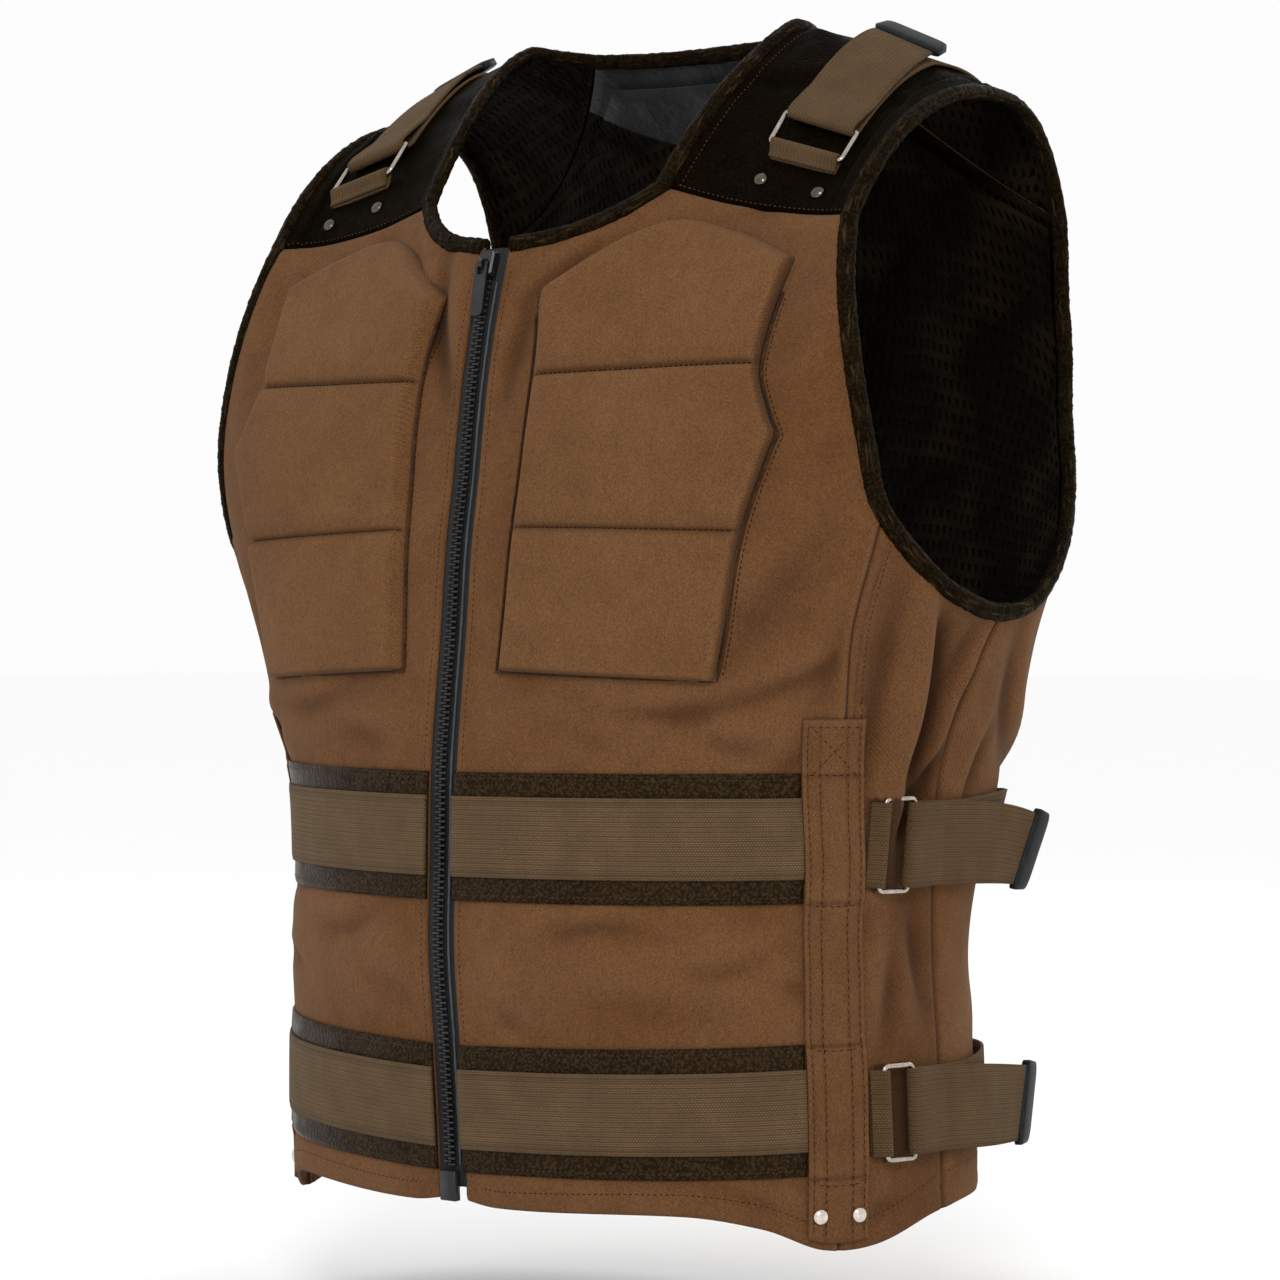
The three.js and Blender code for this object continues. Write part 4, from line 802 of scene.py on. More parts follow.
def lining_lift(turn, z, far):
    """The lining follows the back's creases and bags inwards."""
    side_gap = np.minimum(far["left"], far["right"])
    stand, _ = back_lift(turn, z, dict(far, left=far["left"] + 9, right=far["right"] + 9,
                                       top=far["top"] + 9, bottom=far["bottom"] + 40))
    bag = ramp(np.minimum(side_gap, far["top"]), 50)
    wave = (np.sin(turn * 0.21 + z * 0.012) * np.sin(turn * 0.083 - z * 0.019)
            + 0.6 * np.sin(turn * 0.37 + z * 0.031))
    own = bag * (1.6 + 1.5 * wave) + 0.5
    gap = LINING_EDGE + (LINING_GAP - LINING_EDGE) * ramp(side_gap, 40)
    # The last value is painted light and shade, following the lining's waves.
    return stand - CANVAS_THICK - gap - np.maximum(own, 0), np.clip(wave, -1, 1)


def neck_satin_over(finish, colour):
    """Grey satin, cloudy and a little shiny, above a curved seam below the neck."""
    tree = finish.node_tree
    place = node(tree, "TexCoord").outputs["Object"]
    part = node(tree, "SeparateXYZ", {"Vector": place}).outputs
    arch = reckoned(tree, "MULTIPLY", reckoned(tree, "MULTIPLY", part["X"], part["X"]), -2.7)
    share = spread(tree, reckoned(tree, "ADD", part["Z"], arch), -SATIN_DEEP * MM - 0.0006,
                   -SATIN_DEEP * MM + 0.0006)
    cloud = noise(tree, place, 26, 5, 0.6)
    satin = node(tree, "BsdfPrincipled", {
        "Roughness": 0.5, "Sheen Weight": 0.1, "Specular IOR Level": 0.12,
        "Base Color": tinted(tree, colour, (cloud, 0.36, 0.66, 1, toned(colour, 0.35)))})
    embossed(tree, satin, (cloud, 0.005, 1))
    out = next(part for part in tree.nodes if part.type == "OUTPUT_MATERIAL")
    both = node(tree, "MixShader", {0: share, 1: out.inputs["Surface"].links[0].from_socket,
                                    2: satin.outputs["BSDF"]})
    tree.links.new(both.outputs[0], out.inputs["Surface"])
    return finish


loose_cloth = neck_satin_over(
    mesh_lining_finish("loose_cloth", LINING_BROWN_IN_SHADE, HOLE_SHADE), (0.0165, 0.017, 0.019, 1))
cloth = lay_cloth(lining_place, on_shell, 90, 110, 1, lining_lift)
lining = sew_in("loose_lining", cloth, [loose_cloth], ["back_lining"])
back_panel.data.materials[1] = loose_cloth
thicken(lining, LINING_THICK)

# ---- Shoulder yokes -----------------------------------------------------------------
# A dark brown leather piece over each shoulder joins the front panel to the back. A seam
# runs alongside the armhole, and the leather rides up in small folds over the ridge.
NECK_SIDE = [dict(turn=95, z=-48), dict(turn=100, z=-18), dict(turn=101, z=14),
             dict(turn=95, z=34)]
YOKE_SEAM_IN, SHOULDER_STRAP_X = 17, 166


def crown(x, y):
    """A point of the shoulder's top face, by its place seen from above."""
    top = SECTIONS[-1]
    closed = ridge["y"](np.abs(x))
    behind = y > closed
    square = np.where(behind, top["square_back"], top["square"])
    depth = (1 - (np.abs(x) / top["half"]) ** square) ** (1 / square)
    foot = np.where(behind, top["back"] * depth, -top["front"] * depth)
    full = np.where(behind, ridge["back"](np.abs(x)), ridge["front"](np.abs(x)))
    out = np.clip(np.abs((y - closed) / (foot - closed)), 0, 1)
    z = CHEST + (ridge["top"](np.abs(x)) - CHEST) * (1 - out**full) ** (1 / full)
    return np.stack(np.broadcast_arrays(x, y, z), -1)


def on_crown(x, y):
    """Point, directions and normal on the shoulder's top face."""
    return facing(crown, x, y, 0.4, 0.4)


def seam_point(x, z, behind):
    """Where a seam of this height crosses a distance from the middle, seen from above."""
    x, z = np.broadcast_arrays(np.asarray(x, float), np.asarray(z, float))
    return np.stack([x, shell(turn_at(x, z, behind), z)[..., 1]], -1)


def seen_from_above(points):
    """An edge through places seen from above: a share to (x, y)."""
    return run([dict(turn=x, z=y) for x, y in points], across=1)


neck_side = seen_from_above(
    [seam_point(NECK_X, yoke_seam(NECK_X), False),
     *[(row["turn"], row["z"]) for row in NECK_SIDE],
     seam_point(NECK_BACK_X, back_yoke_seam(NECK_BACK_X), True)])
arm_top = seen_from_above(
    [seam_point(ARM_X, yoke_seam(ARM_X), False), (ARM_X, 0), (ARM_X, 60),
     seam_point(ARM_X, back_yoke_seam(ARM_X), True)])


def yoke_front(u):
    """The yoke's front seam, seen from above."""
    x = NECK_X + (ARM_X - NECK_X) * u
    return seam_point(x, yoke_seam(x), False)


def yoke_back(u):
    """The yoke's rear seam, seen from above."""
    x = NECK_BACK_X + (ARM_X - NECK_BACK_X) * u
    return seam_point(x, back_yoke_seam(x), True)


yoke_place = between(yoke_front, yoke_back, neck_side, arm_top)


def leather_finish(name, colour, shine=0.46, pleated=False, pebble_glint=0.25, gloss=0.05):
    """Pebbled dark leather, a painted highlight where it stands out, painted shade in its folds.
    """
    finish, tree, skin = begin_finish(name, {"Specular IOR Level": gloss,
                                             "Specular Tint": (1, 0.74, 0.46, 1)})
    weave, place, painted_light = whereabouts(tree)
    pebble = node(tree, "TexVoronoi", {"Vector": place, "Scale": 620, "Randomness": 0.9},
                  feature="SMOOTH_F1").outputs["Distance"]
    wrinkle, patch = noise(tree, place, 70, 5, 0.65), noise(tree, place, 18, 4)
    pale, dark = toned(colour, 2.1), toned(colour, 0.4)
    # Patch and wrinkle vary the leather's own tone; painted highlights and shade follow its
    # relief, and the last step paints glints on the pebbles' crests.
    tone = tinted(tree, colour, (patch, 0.35, 0.68, 1, toned(colour, 1.45)),
                  (wrinkle, 0.42, 0.7, 0.6, dark), (painted_light, 0, 1.3, 0.8, pale),
                  (painted_light, 0, -1.2, 0.9, dark), (pebble, 0.2, 0.75, 0.55, dark),
                  (pebble, 0.5, 0.05, pebble_glint, (0.062, 0.041, 0.022, 1)))
    layers = [(reckoned(tree, "SUBTRACT", 1.0, pebble), 0.00045, 1),
              (noise(tree, place, 1500), 0.00008, 1), (wrinkle, 0.0016, 0.7)]
    if pleated:                            # the crests of the pleats get painted golden highlights
        pinch = noise(tree, mapped(tree, weave, (70, 520, 1)), 1, 3)
        tone = tinted(tree, tone, (pinch, 0.56, 0.72, 0.8, (0.044, 0.029, 0.0125, 1)))
        layers += [(pinch, 0.0011, 1)]
    tree.links.new(tone, skin.inputs["Base Color"])
    tree.links.new(spread(tree, wrinkle, 0.3, 0.7, shine - 0.08, shine + 0.14),
                   skin.inputs["Roughness"])
    embossed(tree, skin, *layers)
    return finish


DARK_BROWN = (0.0030, 0.0018, 0.0006, 1)
yoke_leather = leather_finish("yoke_leather", DARK_BROWN, 0.4, pebble_glint=0.03, gloss=0.007)
yoke_lining = mesh_lining_finish("yoke_lining", LINING_BROWN_IN_SHADE, HOLE_SHADE)
YOKE_CREASES = [
    dict(x=124, y=-30, long=34, wide=6, deep=1.3, tilt=20),
    dict(x=186, y=-18, long=26, wide=5, deep=1.5, tilt=-14),
    dict(x=150, y=24, long=40, wide=7, deep=1.4, tilt=6),
    dict(x=110, y=12, long=22, wide=5, deep=1.2, tilt=-30),
    dict(x=198, y=44, long=26, wide=6, deep=1.5, tilt=34),
    dict(x=128, y=58, long=34, wide=7, deep=1.2, tilt=-12),
]


def yoke_lift(x, y, far):
    """A yoke's small folds, its seam by the armhole and its edges."""
    stand = np.zeros_like(x)
    for row in YOKE_CREASES:
        tilt = math.radians(row["tilt"])
        along = (x - row["x"]) * math.cos(tilt) + (y - row["y"]) * math.sin(tilt)
        off = ((y - row["y"]) * math.cos(tilt) - (x - row["x"]) * math.sin(tilt)) / row["wide"]
        stand -= (row["deep"] * np.exp(-(along / row["long"]) ** 2 * 1.6)
                  * (hump(off, 0, 1) - 0.6 * hump(off, 1.6, 1.1)))
    stand *= ramp(np.minimum(far["bottom"], far["top"]), 24)
    stand *= np.clip((np.abs(x - SHOULDER_STRAP_X) - 22) / 6, 0.1, 1)
    seam = far["right"] - YOKE_SEAM_IN
    stand += (0.7 * hump(seam, -3.5, 2.4) - 1.1 * hump(seam, 0, 1.3)
              + 0.25 * np.sin(far["bottom"] * 1.05) * hump(seam, 0, 5)
              + rolled(far["bottom"], 1.0, 1.4) + rolled(far["top"], 1.0, 1.4))
    # The second value is painted light from the relief: highlights where it stands up, shade
    # where it sinks.
    return stand, np.clip(stand / 1.3, -1, 1)


yoke_faces = {}
for side, word in SIDES:
    cloth = lay_cloth(yoke_place, on_crown, 78, 96, side, yoke_lift)
    yoke_faces[side] = BVHTree.FromBMesh(cloth)
    shoulder = sew_in(f"shoulder_yoke_{word}", cloth, [yoke_leather, yoke_lining],
                      [f"yoke_{word}"])
    thicken(shoulder, CANVAS_THICK, inner=1)

# ---- Rolled bindings ----------------------------------------------------------------
# The neck and both armholes are bound with a soft strip of dark leather, turned over the
# raw edge and gathered, so that it stands as a full roll with fine pleats across it.
BIND_HALF, BIND_THICK, BIND_ROUND = 5.2, 3.9, 14
ARM_STEPS = 560
ARM_PHASE = {1: 0.4, -1: 1.9}              # where the pleats of each armhole start
binding_leather = leather_finish("binding_leather", (0.0064, 0.0037, 0.0014, 1), 0.34, True,
                                 pebble_glint=0.14, gloss=0.012)


def roll(points, normals, closed, phase, half=BIND_HALF, thick=BIND_THICK, deep=0.2):
    """A gathered roll along an edge, its pleats irregular."""
    if closed:
        points = np.concatenate([points, points[:1]])
        normals = np.concatenate([normals, normals[:1]])
    along = np.gradient(points, axis=0)
    if closed:
        along[0] = along[-1] = points[1] - points[-2]
    along = unit(along)
    flat = unit(np.cross(along, normals))
    up = np.cross(flat, along)
    s = length_along(points)[:, None]
    t = np.linspace(0, 2 * math.pi, BIND_ROUND + 1)[None, :]
    pleat = deep * (np.sin(3 * s + 2.3 * np.sin(s * 0.5 + phase) + 0.9 * np.cos(t))
                    * (0.65 + 0.35 * np.sin(s * 0.7 + phase))
                    + 0.8 * np.sin(s * 0.5 + 2.2 * np.sin(s * 0.2) + phase))
    pleat[-1] = pleat[0] if closed else pleat[-1]
    middle = points - normals * (CANVAS_THICK / 2)
    net = (middle[:, None] + flat[:, None] * ((half + pleat) * np.cos(t))[..., None]
           + up[:, None] * ((thick + pleat) * np.sin(t))[..., None])
    # The second value is painted light: highlights on the pleats' crests, shade in their hollows.
    return net, (pleat / deep * 0.6).ravel()


def sew_roll(name, rolled_up, side, finish, stands_for=(), capped=False):
    """A roll, given as its net and its painted light, becomes a piece of the vest."""
    net, painted_light = rolled_up
    bm = woven(net, side, painted_light, closed=True)
    if capped:
        bmesh.ops.holes_fill(bm, edges=[edge for edge in bm.edges if edge.is_boundary],
                             sides=BIND_ROUND + 2)
    bmesh.ops.recalc_face_normals(bm, faces=bm.faces[:])
    return sew_in(name, bm, [finish], stands_for)


def arm_path():
    """Points and normals once round the left armhole."""
    around = np.linspace(0, 1, ARM_STEPS, endpoint=False)
    over = np.linspace(1, 0, ARM_STEPS // 3, endpoint=False)
    first, second = on_shell(*armhole(around).T), on_crown(*arm_top(over).T)
    return (np.concatenate([first[0], second[0]]), np.concatenate([first[3], second[3]]))


def neck_path():
    """Points and normals round the neck, from the zip and back to it."""
    x = np.linspace(ZIP_HALF + 1, NECK_X, 120, endpoint=False)
    front = on_shell(turn_at(x, neckline(x)), neckline(x))
    side_run = on_crown(*neck_side(np.linspace(0, 1, 160, endpoint=False)).T)
    x = np.linspace(NECK_BACK_X, 0, 100)
    back = on_shell(turn_at(x, neck_back(x), True), neck_back(x))
    points = np.concatenate([front[0], side_run[0], back[0]])
    normals = np.concatenate([front[3], side_run[3], back[3]])
    flip = np.array([-1, 1, 1])
    return (np.concatenate([points, points[-2::-1] * flip]),
            np.concatenate([normals, normals[-2::-1] * flip]))


for side, word in SIDES:
    arm_roll = sew_roll(f"armhole_roll_{word}", roll(*arm_path(), True, ARM_PHASE[side]), side,
                        binding_leather, [f"armhole_binding_{word}"])
neck_roll = sew_roll("neck_roll", roll(*neck_path(), False, 2.7), 1, binding_leather,
                     ["neck_binding"], capped=True)

# ---- Chest pads ---------------------------------------------------------------------
# A foam plate under canvas on each breast, pressed into three parts by two sewn channels.
# Its outer edge stands steep behind a sewn cord; towards the zip it slopes off softly.
PAD_INNER = [dict(x=35, z=-368), dict(x=39, z=-290), dict(x=41, z=-205), dict(x=35, z=-158)]
PAD_OUTER = [
    dict(x=162.5, z=-373), dict(x=180.5, z=-293), dict(x=194.6, z=-251),
    dict(x=197.5, z=-243), dict(x=194.2, z=-235), dict(x=185.2, z=-213.5),
    dict(x=183.6, z=-206), dict(x=183.5, z=-186), dict(x=186.5, z=-147),
]
PAD_TOP = [dict(x=35, z=-158), dict(x=98, z=-122), dict(x=145, z=-129),
           dict(x=186.5, z=-145)]
PAD_LEVELS = [-368, -330, -290, -262, -234, -207, -180, -158]
PAD_CHANNELS = [-290, -207]                # levels where the two are sewn
PAD_FOOT_SLANT, PAD_HEAD_SLANT = 5, 12     # the outer edge's ends, down and up from level
PAD_FLAT = 5 / 7                           # share of the height up to the upper channel
PAD_THICK, PAD_SINK, CORD_HALF = 9.2, 0.9, 0.85
pad_inner, pad_outer = curve(PAD_INNER, "z", "x"), curve(PAD_OUTER, "z", "x")
pad_top = curve(PAD_TOP, "x", "z")
pad_canvas = canvas_finish("pad_canvas", (0.115, 0.0505, 0.0180, 1),
                           (0.150, 0.0710, 0.0285, 1), (0.064, 0.026, 0.0092, 1), -40)
# The cord is sewn on, but its dark colour paints the shadow line round the pad's edge.
shaded_pad_cord = canvas_finish("shaded_pad_cord", (0.030, 0.0115, 0.0042, 1), (0.070, 0.030, 0.0115, 1),
                         (0.012, 0.005, 0.002, 1))


def pad_level(share):
    """The level at a share of the pad's height, along its inner edge."""
    return np.interp(share, np.linspace(0, 1, len(PAD_LEVELS)), PAD_LEVELS)


def pad_place(u, v):
    """Places of a pad, between its inner and outer outlines."""
    level = pad_level(v)
    outer_z = level - PAD_FOOT_SLANT * (1 - v) + PAD_HEAD_SLANT * v**4
    x = pad_inner(level) * (1 - u) + pad_outer(outer_z) * u
    chord = PAD_LEVELS[-1] + PAD_HEAD_SLANT * u
    rise = np.maximum((v - PAD_FLAT) / (1 - PAD_FLAT), 0) ** 1.5
    z = level * (1 - u) + outer_z * u + (pad_top(x) - chord) * rise
    return turn_at(x, z), z


def quarter(distance, over):
    """The rounded edge of a foam plate, from 0 at its border to 1."""
    return np.sqrt(1 - (1 - ramp(distance, over)) ** 2)


def off_channel(far):
    """Signed distance from the nearest sewn channel, up the pad."""
    gaps = [pad_level(far["share"]) - channel for channel in PAD_CHANNELS]
    return np.where(np.abs(gaps[0]) < np.abs(gaps[1]), gaps[0], gaps[1])


def pad_lift_for(phase):
    """A pad's foam body, cut by its channels, with painted highlights and shade at its edges and
    channels.
    """
    def lift(turn, z, far):
        soft, gap = far["left"], off_channel(far)
        steep = np.minimum(np.minimum(far["right"], far["bottom"]), far["top"])
        inside, slope, over = ramp(soft, 4), ramp(soft, 7.5), ramp(far["top"], 7)
        body = 0.12 * quarter(soft, 1.5) + 0.88 * (slope - 0.06 * np.sin(math.pi * slope))
        body *= quarter(far["right"], 4) * quarter(far["bottom"], 3.6)
        body *= 0.15 * quarter(far["top"], 1.5) + 0.85 * over
        sunk = 1 - ramp(gap, 8.5)          # the cloth slopes down to a channel from above
        cut = 0.34 * hump(gap, 0, 0.9) + 0.26 * np.where(gap > 0, sunk, hump(gap, 0, 2.6))
        swell = 1.1 * (1 - hump(gap, 0, 22)) * ramp(np.minimum(soft, steep), 24)
        pinch = 0.16 * np.sin(soft * 0.9 + phase + 2 * np.sin(soft * 0.13))
        pinch *= hump(gap, 0, 6) * inside
        wave = 0.3 * np.sin(soft * 0.07 + phase) * np.sin(far["bottom"] * 0.05 + phase)
        stand = body * (PAD_THICK * (1 - cut * inside) + swell + pinch + wave) - PAD_SINK
        # Painted light: highlights along the edges' crests, shade in the channels, on the slopes
        # and at the pad's foot.
        painted_light = (0.5 * hump(far["right"], 3.4, 1.6) + 0.35 * hump(far["bottom"], 3.2, 1.6)
                + 0.3 * hump(soft, 8, 1.6) + 0.3 * hump(far["top"], 7.5, 1.6)
                - inside * (1.4 * hump(gap, 0, 1) + 0.35 * (gap > 0) * sunk)
                - 1.6 * hump(np.minimum(steep, 2 * soft), 0, 1.9)
                - 0.25 * (1 - slope) - 0.25 * (1 - over))
        return stand, painted_light
    return lift


pad_faces = {}
for (side, word), phase in zip(SIDES, (0.3, 2.1)):
    cloth = lay_cloth(pad_place, on_shell, 100, 156, side, pad_lift_for(phase))
    pad_faces[side] = BVHTree.FromBMesh(cloth)
    pad = sew_in(f"foam_pad_{word}", cloth, [pad_canvas], [f"chest_pad_{word}"])
    thicken(pad, 0.8)
    # The cord runs down the inner edge, along the foot and up the outer edge; its dark colour is
    # painted shadow.
    up, over = np.linspace(0, 0.9, 150), np.linspace(0.01, 0.99, 110)
    u = np.concatenate([np.full_like(up, -0.004), over, np.full_like(up, 1.008)])
    v = np.concatenate([up[::-1], np.full_like(over, -0.006), up])
    point, normal = standing(*pad_place(u, v))
    sew_roll(f"shaded_pad_cord_{word}", roll(point + normal * (0.9 + CORD_HALF), normal, False, phase,
                                      CORD_HALF, CORD_HALF, 0.08), side, shaded_pad_cord)

# ---- Waist bands --------------------------------------------------------------------
# Two bands cross each front panel: a smooth dark leather strip with its edges sewn down,
# and a ribbed webbing laid along its middle. Both run from the zip to the upright strap.
LEATHER_THICK, WEB_THICK, BAND_WEB = 1.4, 1.6, 44
ON_PANEL = 0.5                             # how far a strip lies off the canvas under it
UPRIGHT_LEAD, UPRIGHT_TOP = 6, -392
BAND_ROW = 3.2                             # the groove of the stitches along a strip's edge
WEB_RIB = 0.0026


def girth_at(turn, z):
    """Millimetres round the body in one degree of turn."""
    return np.linalg.norm(shell(turn + 0.2, z) - shell(turn - 0.2, z), axis=-1) / 0.4


def beside(z, distance):
    """The turn at this distance from the upright strap's middle line."""
    start = seam_turn(z)
    return start + (distance - UPRIGHT_LEAD * eased(z, -480, UPRIGHT_TOP)) / girth_at(start, z)


def band_place(top, drop, down, tall):
    """Places of a strip across the front, sloping down to the zip."""
    def place(u, v):
        z = top - drop * (1 - u) - down - tall * (1 - v)
        return turn_at(ZIP_HALF + 0.4, z) * (1 - u) + beside(z, -STRAP_HALF - 0.3) * u, z
    return place


def strip_lift(high, round_edge=1.2, wobble=0.25, phase=0.0):
    """A strip lying this high over the panel, its long edges turned down a little."""
    def lift(turn, z, far):
        edge = np.minimum(far["bottom"], far["top"])
        wave = wobble * np.sin(far["left"] * 0.09 + phase) * np.sin(far["left"] * 0.023 + 1)
        # The second value paints a highlight on the long edges and shade in the stitch grooves.
        return (high + wave - 0.5 * hump(edge, 0, round_edge),
                0.5 * hump(edge, 0, 1.2) - 0.8 * hump(edge, BAND_ROW, 0.8))
    return lift


def webbing_finish(name, colour, turn=90):
    """Ribbed cotton webbing: close ribs along the strip, each of short floats."""
    finish, tree, skin = begin_finish(name, {
        "Roughness": 0.85, "Specular IOR Level": 0.12, "Sheen Weight": 0.12,
        "Sheen Tint": (0.6, 0.48, 0.33, 1)})
    weave, place, painted_light = whereabouts(tree)
    weave = mapped(tree, weave, turn=turn)
    ribs = node(tree, "TexWave", {"Vector": weave, "Scale": WAVE_PERIOD / WEB_RIB,
                                  "Distortion": 0.15}, bands_direction="Y").outputs["Fac"]
    floats = node(tree, "TexBrick", {
        "Vector": weave, "Scale": 1.0, "Mortar Size": 0.00042, "Mortar Smooth": 1.0,
        "Bias": 0.0, "Brick Width": 0.0017, "Row Height": 0.0013,
        "Color1": (1, 1, 1, 1), "Color2": (0.8, 0.8, 0.8, 1), "Mortar": (0, 0, 0, 1)},
        offset=0.5).outputs["Color"]
    fuzz, cloud = noise(tree, place, 1300), noise(tree, place, 55, 4)
    pale, dark = toned(colour, 1.35), toned(colour, 0.36)
    # Cloud and fuzz vary the webbing's own tone, ribs and floats make its weave; the last step is
    # painted shade where it sinks.
    tone = tinted(tree, colour, (cloud, 0.35, 0.7, 1, pale), (ribs, 0.5, 0.0, 0.3, dark),
                  (floats, 0.75, 0.0, 0.8, dark), (fuzz, 0.4, 0.75, 0.35, pale),
                  (painted_light, 0, -1, 0.7, dark))
    tree.links.new(tone, skin.inputs["Base Color"])
    embossed(tree, skin, (ribs, 0.0002, 1), (floats, 0.00035, 1), (fuzz, 0.00012, 1),
             (cloud, 0.002, 0.5))
    return finish


OLIVE_TAN = (0.104, 0.062, 0.0300, 1)
band_leather = leather_finish("band_leather", (0.0150, 0.0082, 0.0034, 1), 0.34,
                              pebble_glint=0.5)
band_webbing = webbing_finish("band_webbing", OLIVE_TAN, turn=0)
band_faces = {}
for side, word in SIDES:
    for band in BANDS:
        name, top, drop = band["word"], band["top"], band["drop"]
        cloth = lay_cloth(band_place(top, drop, 0, BAND_TALL), on_shell, 90, 30, side,
                          strip_lift(ON_PANEL + LEATHER_THICK, phase=side + top))
        band_faces[side, name] = BVHTree.FromBMesh(cloth)
        leather = sew_in(f"band_leather_{name}_{word}", cloth, [band_leather],
                         [f"waist_leather_{name}_{word}"])
        thicken(leather, LEATHER_THICK)
        cloth = lay_cloth(band_place(top, drop, (BAND_TALL - BAND_WEB) / 2, BAND_WEB),
                          on_shell, 90, 16, side,
                          strip_lift(ON_PANEL + LEATHER_THICK + 0.3 + WEB_THICK, 1.6, 0.3,
                                     phase=side * 2 + top))
        webbing = sew_in(f"band_webbing_{name}_{word}", cloth, [band_webbing],
                         [f"waist_webbing_{name}_{word}"])
        thicken(webbing, WEB_THICK)

# ---- Upright straps -----------------------------------------------------------------
# A folded canvas strip lies over each side-front seam from the waist down to the hem. It
# covers the ends of the bands and is sewn down along both edges.
upright_canvas = canvas_finish("upright_canvas", (0.104, 0.0435, 0.0150, 1), BROWN_PALE,
                               BROWN_DARK, 43)
CROSS_ROWS = [-422, -491, -566.5, -637]
UPRIGHT_FOOT = -667
UPRIGHT_ROWS = [2.8, 9.7, 24.9, 31.8]      # distances of the sewn rows from the front edge


def upright_place(u, v):
    """Places of the strip over the side-front seam."""
    distance = STRAP_HALF * (2 * u - 1)
    foot = hem_height(beside(np.full_like(distance, -670.0), distance)) + 0.5
    z = foot + (UPRIGHT_TOP - foot) * v
    return beside(z, distance), z


def upright_lift(turn, z, far):
    """The strip's welts and rows, raised where it crosses the bands."""
    edge = np.minimum(np.minimum(far["left"], far["right"]), far["top"])
    welt = 0.5 * hump(edge, 1.2, 1.2) - 0.5 * sum(hump(far["left"], row, 0.9)
                                                  for row in UPRIGHT_ROWS)
    rows = sum(hump(z, row, 1) for row in CROSS_ROWS)
    on_band = sum(eased(np.abs(z - band["top"] + band["drop"] / 2 + BAND_TALL / 2),
                        BAND_TALL / 2 + 7, BAND_TALL / 2 - 2) for band in BANDS)
    wave = 0.5 * np.sin(z * 0.083) * np.sin(z * 0.031 + 1)
    # The second value paints highlights on the welts and shade in the rows' grooves.
    return (ON_PANEL + CANVAS_THICK + 0.3 + 1.3 * on_band + welt + wave - 0.8 * rows
            - 0.8 * hump(edge, 0, 0.8)), welt - 0.9 * rows


upright_faces = {}
for side, word in SIDES:
    cloth = lay_cloth(upright_place, on_shell, 36, 190, side, upright_lift)
    upright_faces[side] = BVHTree.FromBMesh(cloth)
    upright = sew_in(f"seam_strap_{word}", cloth, [upright_canvas],
                     [f"upright_strap_{word}"])
    thicken(upright, CANVAS_THICK + 0.6)

# ---- Zip ----------------------------------------------------------------------------
# Coarse moulded zip: a dark grey tape on each side, black teeth that lock at the middle,
# a bottom box, and a slider with a hanging pull. A fine grey cord is sewn along the teeth.
ZIP_TOP = -133
TAPE_IN, TAPE_OUT, TAPE_THICK, TAPE_BOTTOM = 0.1, 10.6, 1.2, -650
CHAIN_TOP, CHAIN_BOTTOM, BOX_BOTTOM = -151, -641, -657.5
TOOTH_PITCH, TOOTH = 3.3, (5.0, 1.5, 2.3)
BOX_HALF, BOX_THICK = 5.8, 4.4
TAPE_WALE = 0.0009
ZIP_CORD_AT, ZIP_CORD_HALF = 6.2, 0.75


def tape_place(u, v):
    """Places of a zip tape."""
    z = TAPE_BOTTOM + (ZIP_TOP - TAPE_BOTTOM) * v
    return turn_at(TAPE_IN + (TAPE_OUT - TAPE_IN) * u, z), z


def tape_lift(turn, z, far):
    """A tape lies just under the panels, with a bead by the teeth."""
    bead = 0.9 * hump(far["left"], 5, 0.8)
    # The second value is a painted highlight on the bead.
    return -1.1 + bead, bead * 0.4


def tape_finish(name, colour):
    """Fine knitted tape: close upright wales."""
    finish, tree, skin = begin_finish(name, {"Roughness": 0.75, "Specular IOR Level": 0.15})
    weave, place, _ = whereabouts(tree)
    wales = node(tree, "TexWave", {"Vector": weave, "Scale": WAVE_PERIOD / TAPE_WALE,
                                   "Distortion": 0.4}).outputs["Fac"]
    fleck = noise(tree, place, 900)
    tone = tinted(tree, colour, (wales, 0.2, 0.9, 0.6, toned(colour, 1.5)),
                  (fleck, 0.35, 0.7, 0.5, toned(colour, 0.5)))
    tree.links.new(tone, skin.inputs["Base Color"])
    embossed(tree, skin, (wales, 0.0002, 1), (fleck, 0.0001, 1))
    return finish


def hard_finish(name, colour, rough, metal=0, scratch=0.1, gloss=0.35):
    """Moulded or cast part: fine grain, a few rubs, a slightly uneven shine."""
    finish, tree, skin = begin_finish(name, {"Metallic": metal, "Specular IOR Level": gloss})
    place = node(tree, "TexCoord").outputs["Object"]
    rub = noise(tree, mapped(tree, place, (260, 260, 60)), 1, 5, 0.7)
    lighter = tuple(min(c * 1.5 + 0.01, 1) for c in colour[:3]) + (1,)
    tree.links.new(tinted(tree, colour, (rub, 0.45, 0.75, 1, lighter)),
                   skin.inputs["Base Color"])
    tree.links.new(spread(tree, rub, 0.3, 0.75, rough - scratch, rough + scratch),
                   skin.inputs["Roughness"])
    embossed(tree, skin, (rub, 0.0002, 1), (noise(tree, place, 1700), 0.00006, 1))
    return finish


